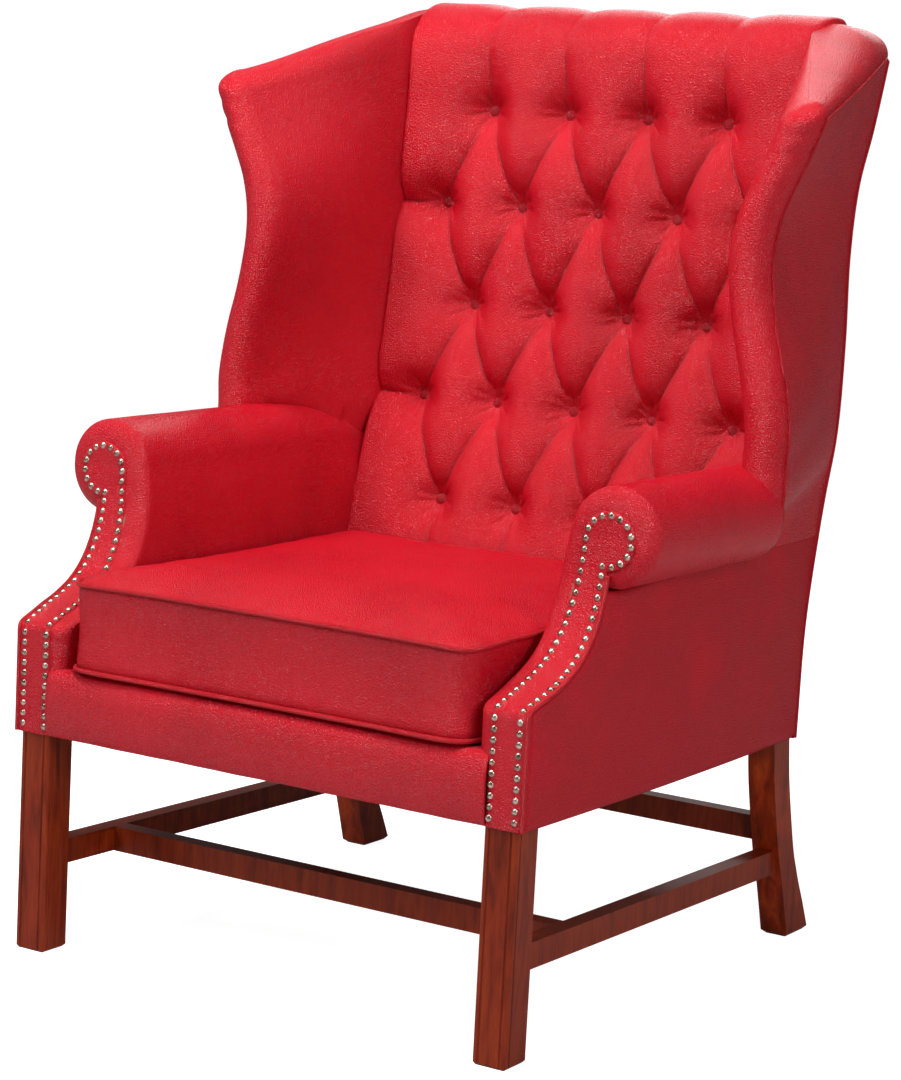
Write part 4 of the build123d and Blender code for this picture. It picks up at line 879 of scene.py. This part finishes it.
def wingRing(z, turn=0.0, count=130):
    # One section of a wing, in a plane that leans up to the back: points across, depth and height.
    # A turn above nought closes the section in over the wing's rounded top.
    w = wingSizes
    tilt = math.radians(w["tilt"])
    reach = 230.0
    # The section leans up to a back that leans too, so its length settles step by step
    for step in range(12):
        reach = (outsideDepth(z + reach * math.sin(tilt)) - w["front"] - w["gap"]) / math.cos(tilt)
    rearZ = z + reach * math.sin(tilt)
    edge = readOff(edgeSmooth, z)
    corner = readOff(cornerSmooth, rearZ)
    r, rear = w["radius"], w["rear"]
    deep = w["softness"]
    outTurn = math.atan2(edge - corner, reach - r)
    inTurn = math.atan(deep / r * (edge - 2 * r - w["inner"]) / (reach - r))
    nose = [(edge - r + r * math.cos(a), (r if a < math.pi / 2 else deep) * (1 - math.sin(a)))
            for a in np.linspace(-outTurn, math.pi - inTurn, 15)]
    (x0, y0), (x1, y1) = nose[0], nose[-1]
    # The inner side reaches its full depth where the buttoned back's face meets it
    faceDepth = readOff([(height, depth) for depth, height in backLine[:10]], z + w["faceAbove"])
    meet = (faceDepth - w["faceBefore"] - w["front"]) / math.cos(tilt)
    t = np.linspace(0.08, 0.94, 9)
    outerSide = [(x0 + (corner - x0) * u + w["bulge"] * math.sin(math.pi * u), y0 + (reach - y0) * u)
                 for u in t[::-1]]
    innerSide = [(x1 + (w["inner"] - x1) * u - w["hollow"] * math.sin(math.pi * u), y1 + (meet - y1) * u)
                 for u in t]
    innerSide += [(w["inner"], meet + (reach - meet) * u) for u in (0.1, 0.35, 0.6, 0.85)]
    back = (corner + w["inner"]) / 2
    rearOuter = [(back, reach), (corner - 9, reach), (corner - 2.5, reach - 2.5)]
    rearInner = [(w["inner"] + 2, reach - 2), (w["inner"] + 8, reach), (back, reach)]
    line = smoothLine(rearOuter + outerSide + nose + innerSide + rearInner, count)
    x, depth = line[:, 0], line[:, 1]
    share = np.clip((depth - r) / (meet - r), 0, 1)
    middle = edge - r + (w["inner"] + 2 - edge + r) * share
    shrink = math.cos(turn)
    x = middle + (x - middle) * shrink
    depth = np.where(depth < w["nose"], w["nose"] - (w["nose"] - depth) * shrink, depth)
    depth = np.where(depth > reach - rear, reach - rear + (depth - reach + rear) * shrink, depth)
    swellUp = 0.72 + 0.35 * smoothStep(0, 200, depth) + 0.7 * smoothStep(60, 330, depth)
    lift = r * math.sin(turn) * (swellUp - 0.6 * smoothStep(reach - 80, reach, depth))
    x = x + lift * 0.3 * (1 - share)**2
    return x, w["front"] + depth * math.cos(tilt), z + depth * math.sin(tilt) + lift


def armTop(x):
    # Height of the arm's roll under a place across
    s = armSizes
    return s["rollZ"] + np.sqrt(np.maximum(s["rollRadius"]**2 - (s["rollX"] - x)**2, 0))


def wingPad(side, tag):
    # A closed skin from inside the arm up to the rounded top, with a welt along the outside seam
    w = wingSizes
    rollZ = w["top"] - w["radius"]
    topSteps = 26
    levels = [(z, 0.0) for z in np.linspace(w["low"], rollZ, 150)]
    levels += [(rollZ, turn) for turn in np.linspace(0.07, math.pi / 2, topSteps)]
    rings = []
    for z, turn in levels:
        x, depth, height = wingRing(z, turn)
        share = np.linspace(0, 1, len(x))
        innerHalf = np.arange(len(x)) > len(x) / 2
        crease = 0.0
        for at, deep in wingCreases:
            upDown = np.exp(-((z - at) / w["foldHeight"])**2)
            crease = crease + deep * upDown * np.exp(-((share - w["foldAt"]) / w["foldWidth"])**2)
        onOutside = (x > 345) | (np.arange(len(x)) < 0.4 * len(x))
        limit = np.where(onOutside, w["panelLow"], armTop(x) - w["sunk"])
        # The inner side spreads where it sinks into the arm, and behind the back's edge
        nearArm = np.exp(-np.maximum(height - limit, 0) / 8)
        x = x + np.where((x < 345) & innerHalf, w["sinkSpread"] * nearArm, 0)
        x = x + np.where((x < 300) & innerHalf, w["tuckIn"] * smoothStep(625, 560, height), 0)
        height = np.maximum(height, limit)
        rings.append(place(x - crease, depth + crease, height))
    outer = np.array(rings)
    middle = outer.mean(axis=1, keepdims=True)
    inward = middle - outer
    inward[..., 2] = 0
    far = np.linalg.norm(inward, axis=-1, keepdims=True)
    inner = outer + inward / np.maximum(far, 1e-6) * np.minimum(far * 0.5, w["leather"] * mm)
    inner[-topSteps:, :, 2] -= w["leather"] * mm * np.linspace(0, 1, topSteps)[:, None]
    piece = shell("wingPad" + tag, mirrored(outer, side), mirrored(inner, side), material=redLeather,
                  replaced=["wing_pad_" + tag.lower(), "outside_wing_" + tag.lower()])
    seam = []
    for z in np.linspace(520, rollZ, 70):
        x, depth, height = wingRing(z)
        k = np.argmin(np.abs(depth - (w["front"] + w["radius"] * 1.05)) + (x < x.max() - 20) * 1000)
        seam.append((x[k] + 0.6, depth[k], height[k]))
    x, depth, height = wingRing(rollZ)
    k = int(np.argmin(np.abs(depth - seam[-1][1]) + (x < seam[-1][0] - 12) * 1000))
    seam += [(x[i] + 0.6, depth[i], height[i]) for i in range(k - 1, 7, -1)]
    line = evenly(np.array([place(*p) for p in seam]), 160)
    piping("wingWelt" + tag, mirrored(line, side), "seam")


# Outside back

outsideBackSizes = {"top": 1089.0, "straight": 440.0, "lowHalf": 344.0, "topHalf": 337.0, "edge": 0.03,
                    "fall": 5.0, "crown": 1.5, "leather": 4.0}


def outsideBack():
    b = outsideBackSizes
    heights = np.linspace(armSizes["hem"], b["top"], 140)
    across = np.linspace(-1, 1, 90)
    half = np.where(heights < b["straight"], b["lowHalf"], readOff(cornerSmooth, heights))
    fall = b["fall"] * roundOver(1 - np.abs(across), b["edge"])
    depth = outsideDepth(heights)[:, None] - fall[None, :] + b["crown"] * (1 - across[None, :]**2)
    outer = place(half[:, None] * across[None, :], depth, heights[:, None])
    inner = outer + np.array([0, -b["leather"] * mm, 0])
    shell("outsideBack", outer, inner, material=shadedPanelLeather, slotName="leather_panel",
          replaced=["outside_back"])
    for side, tag in ((1, "Right"), (-1, "Left")):
        line = place(half * 0.998, outsideDepth(heights) - 1.5, heights)
        piping("backWelt" + tag, mirrored(line, side), "back")
    topLine = np.linspace(-b["topHalf"], b["topHalf"], 120)
    piping("backWeltTop", place(topLine, outsideDepth(b["top"]) - 0.5, b["top"]), "back")


# Deck under the cushion, softened at its rim

deckSizes = {"underRound": 5.0, "topRound": 4.0, "topSteps": 6, "topStep": 2.5, "squareness": 0.12}


def seatDeck():
    d = deckSizes
    low, high = (np.array(corner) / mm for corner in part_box("seat_deck"))
    half, middle, depth = high[0], (low[1] + high[1]) / 2, (high[1] - low[1]) / 2
    levels = []
    for turn in np.linspace(math.pi / 2, 0, 9):
        inset, rise = 1 - math.sin(turn), 1 - math.cos(turn)
        levels.append((d["underRound"] * inset, low[2] + d["underRound"] * rise))
    shoulder = high[2] - d["topRound"]
    levels.append((0.0, shoulder))
    for k in range(1, d["topSteps"] + 1):
        levels.append((d["topStep"] * k, shoulder + d["topRound"] * (1 - (1 - k / d["topSteps"])**2)))
    turns = np.linspace(0, 2 * math.pi, 160, endpoint=False)
    squareX = np.sign(np.cos(turns)) * np.abs(np.cos(turns))**d["squareness"]
    squareY = np.sign(np.sin(turns)) * np.abs(np.sin(turns))**d["squareness"]
    rings = []
    for inset, z in levels:
        x, y = (half - inset) * squareX, middle + (depth - inset) * squareY
        rings.append(np.stack([x, y, np.full(len(turns), z)], axis=1) * mm)
    piece = stack("seatDeck", rings, slotName=slotOfNode["seat_deck"], replaced=["seat_deck"],
                  material=slotMaterials[slotOfNode["seat_deck"]])


# Loose cushion

cushionSizes = {"half": 271.0, "near": -4.0, "far": 553.0, "bottom": 343.4, "edge": 104.0, "crown": 27.0,
                "spread": 252.0, "corner": 26.0, "draw": 3.5, "waist": 2.5, "tuck": 2.6, "seam": 3.0}


def cushionRing(inset, count=240):
    # The cushion's plan, as points round it, drawn in between its corners
    c = cushionSizes
    half, near, far = c["half"] - inset, c["near"] + inset, c["far"] - inset
    r = max(c["corner"] - inset * 0.3, 6.0)
    draw = c["draw"] * min(max(1 - inset / 240, 0), 1)
    slight, quarter, mid = draw * 0.7, half * 0.5, (near + far) / 2
    corners = []
    for cx, cy, start in ((half - r, far - r, 0), (r - half, far - r, 90), (r - half, near + r, 180),
                          (half - r, near + r, 270)):
        for degrees in (0, 22.5, 45, 67.5, 90):
            a = math.radians(start + degrees)
            corners.append((cx + r * math.cos(a), cy + r * math.sin(a)))
        if start == 0:
            corners += [(quarter, far - slight), (0, far - draw), (-quarter, far - slight)]
        elif start == 90:
            corners += [(slight - half, mid + quarter), (draw - half, mid), (slight - half, mid - quarter)]
        elif start == 180:
            corners += [(-quarter, near + slight), (0, near + draw), (quarter, near + slight)]
        else:
            corners += [(half - slight, mid - quarter), (half - draw, mid), (half - slight, mid + quarter)]
    return evenly(smoothLine(corners + corners[:1], 1200), count + 1)[:-1]


def cushionLevels():
    # Height, inset and part of each ring: under the cushion, up its band and over its crown
    c = cushionSizes
    low, high = c["bottom"], c["bottom"] + c["edge"]
    levels = [(low + 0.2, inset, "under") for inset in (250, 180, 90, 40, 14)]
    for t in np.linspace(0, 1, 25):
        tuck = c["tuck"] * (math.exp(-(t / 0.05)**2) + math.exp(-((1 - t) / 0.05)**2))
        inset = tuck + c["waist"] * math.sin(math.pi * t) - 1.5
        levels.append((low + c["seam"] + (c["edge"] - c["seam"]) * t, inset, "band"))
    for t in np.linspace(0.03, 1, 46):
        rise = c["crown"] * (1 - (1 - min(t * 1.25, 1))**2.2)
        levels.append((high + rise, c["spread"] * t**1.25, "crown"))
    return levels


def seatCushion():
    c = cushionSizes
    rings = []
    for z, inset, part in cushionLevels():
        ring = cushionRing(inset)
        x, y = ring[:, 0], ring[:, 1]
        lift = np.zeros(len(ring))
        if part == "crown":
            nearFront = np.exp(-((y - c["near"]) / 55)**2)
            fromSide = c["half"] - np.abs(x)
            fade = np.clip(inset / 12, 0, 1)
            lift += fade * nearFront * (1.0 * np.sin(x * 0.075 + 0.6) + 0.7 * np.sin(x * 0.16 + 2.0))
            lift += fade * 1.2 * np.sin(x * 0.021 + 1.0) * np.sin(y * 0.017)
            lift += fade * 1.0 * np.exp(-(fromSide / 40)**2) * np.sin(y * 0.09)
        if part == "band":
            atCorner = np.exp(-((np.abs(x) - c["half"]) / 26)**2) * np.exp(-((y - c["near"]) / 30)**2)
            ripple = np.sin(x * 0.23 + y * 0.2) * atCorner * 0.9 + 0.4 * np.sin(x * 0.05 + z * 0.05)
            ring = ring * (1 + ripple[:, None] / 900)
        rings.append(place(ring[:, 0], ring[:, 1], z + lift))
    piece = stack("seatCushion", rings, body="cushion", material=redLeather,
                  replaced=["cushion_cover", "cushion_core"])
    # The piping dips a little at the front corners, and the lower one lifts
    ring = cushionRing(-1.6, 300)
    x, y = ring[:, 0], ring[:, 1]
    atCorner = np.exp(-((np.abs(x) - c["half"]) / 40)**2) * np.exp(-((y - c["near"]) / 40)**2)
    top = place(x, y, c["bottom"] + c["edge"] - 1.5 * atCorner)
    bottom = place(x, y, c["bottom"] + 3.2 + 0.45 * atCorner)
    piping("cushionWeltTop", top, "cushion", closed=True, body="cushion",
           replaced=["cushion_piping_top"])
    piping("cushionWeltBottom", bottom, "cushion", closed=True, body="cushion",
           replaced=["cushion_piping_bottom"])


for side, tag in ((1, "Right"), (-1, "Left")):
    armFacing(side, tag)
    armPad(side, tag)
    outsideArm(side, tag)
    facingNails(side, tag)
    wingPad(side, tag)
print("arms and wings made")
frontBorder()
buttonSpots, buttonFacings = insideBack()
setStuds("backButtons", buttonSpots, buttonFacings, buttonSizes, shadedButtonLeather, ["back_buttons"])
outsideBack()
seatDeck()
seatCushion()
print("back and cushion made")


# Floor, light and camera

def stage():
    # A wide pale floor, a little brighter to the camera than to the chair
    material = bpy.data.materials.new("paleFloor")
    tree, shader = nodesOf(material)
    path = addNode(tree, "ShaderNodeLightPath")
    shader.inputs["Base Color"].default_value = (0.6, 0.6, 0.6, 1)
    shader.inputs["Roughness"].default_value = 0.9
    shader.inputs["Specular IOR Level"].default_value = 0.1
    shader.inputs["Emission Color"].default_value = (1, 1, 1, 1)
    glow = mathNode(tree, "MULTIPLY", path.outputs["Is Camera Ray"], 0.93)
    tree.links.new(glow, shader.inputs["Emission Strength"])
    mesh = bpy.data.meshes.new("floor")
    reach = 60.0
    corners = [(-reach, -reach, 0), (reach, -reach, 0), (reach, reach, 0), (-reach, reach, 0)]
    mesh.from_pydata(corners, [], [(0, 1, 2, 3)])
    mesh.materials.append(material)
    floor = bpy.data.objects.new("floor", mesh)
    bpy.context.scene.collection.objects.link(floor)


def surround():
    # A dim room that the camera sees as white
    world = bpy.data.worlds.new("room")
    bpy.context.scene.world = world
    world.use_nodes = True
    tree = world.node_tree
    background = tree.nodes["Background"]
    path = addNode(tree, "ShaderNodeLightPath")
    background.inputs["Color"].default_value = (0.97, 0.98, 1.0, 1)
    glow = mathNode(tree, "MULTIPLY_ADD", path.outputs["Is Camera Ray"], 0.95, 0.12)
    tree.links.new(glow, background.inputs["Strength"])


def lamp(name, spot, size, power, target=(0, 0, 0.6)):
    data = bpy.data.lights.new(name, "AREA")
    data.shape = "RECTANGLE"
    data.size, data.size_y = size
    data.energy = power
    obj = bpy.data.objects.new(name, data)
    aim = (Vector(target) - Vector(spot)).to_track_quat("-Z", "Y").to_matrix().to_4x4()
    obj.matrix_world = Matrix.Translation(spot) @ aim
    bpy.context.scene.collection.objects.link(obj)


stage()
lamp("keyLamp", (-1.7, -2.6, 2.7), (1.3, 1.1), 50)
lamp("fillLamp", (3.0, -1.4, 1.9), (1.0, 1.8), 45)
lamp("topLamp", (-0.2, -0.9, 3.2), (1.8, 1.1), 94, target=(0, 0.1, 0.6))
lamp("rearLamp", (-1.3, 3.3, 2.3), (1.6, 1.4), 24)
surround()

cameraSizes = {"x": 1.9111, "y": -2.6386, "z": 1.0389, "yaw": 32.3682, "pitch": 8.7085, "roll": 2.9765,
               "focalPixels": 3003.1, "pictureHeight": 1080.0, "sensor": 36.0}


def viewCamera():
    # The photograph's own viewpoint
    c = cameraSizes
    yaw, pitch, roll = (math.radians(c[k]) for k in ("yaw", "pitch", "roll"))
    back = Vector((math.sin(yaw) * math.cos(pitch), -math.cos(yaw) * math.cos(pitch), math.sin(pitch)))
    right = (-back).cross(Vector((0, 0, 1))).normalized()
    up = right.cross(-back)
    across = right * math.cos(roll) + up * math.sin(roll)
    upward = -right * math.sin(roll) + up * math.cos(roll)
    data = bpy.data.cameras.new("viewCamera")
    data.sensor_width = c["sensor"]
    data.lens = c["focalPixels"] / c["pictureHeight"] * c["sensor"]
    data.clip_end = 50
    obj = bpy.data.objects.new("viewCamera", data)
    turn = Matrix((across, upward, back)).transposed().to_4x4()
    obj.matrix_world = Matrix.Translation((c["x"], c["y"] + frontY, c["z"])) @ turn
    bpy.context.scene.collection.objects.link(obj)
    bpy.context.scene.camera = obj


viewCamera()
print("floor, lights and camera set")
bpy.context.scene.view_settings.view_transform = "Standard"
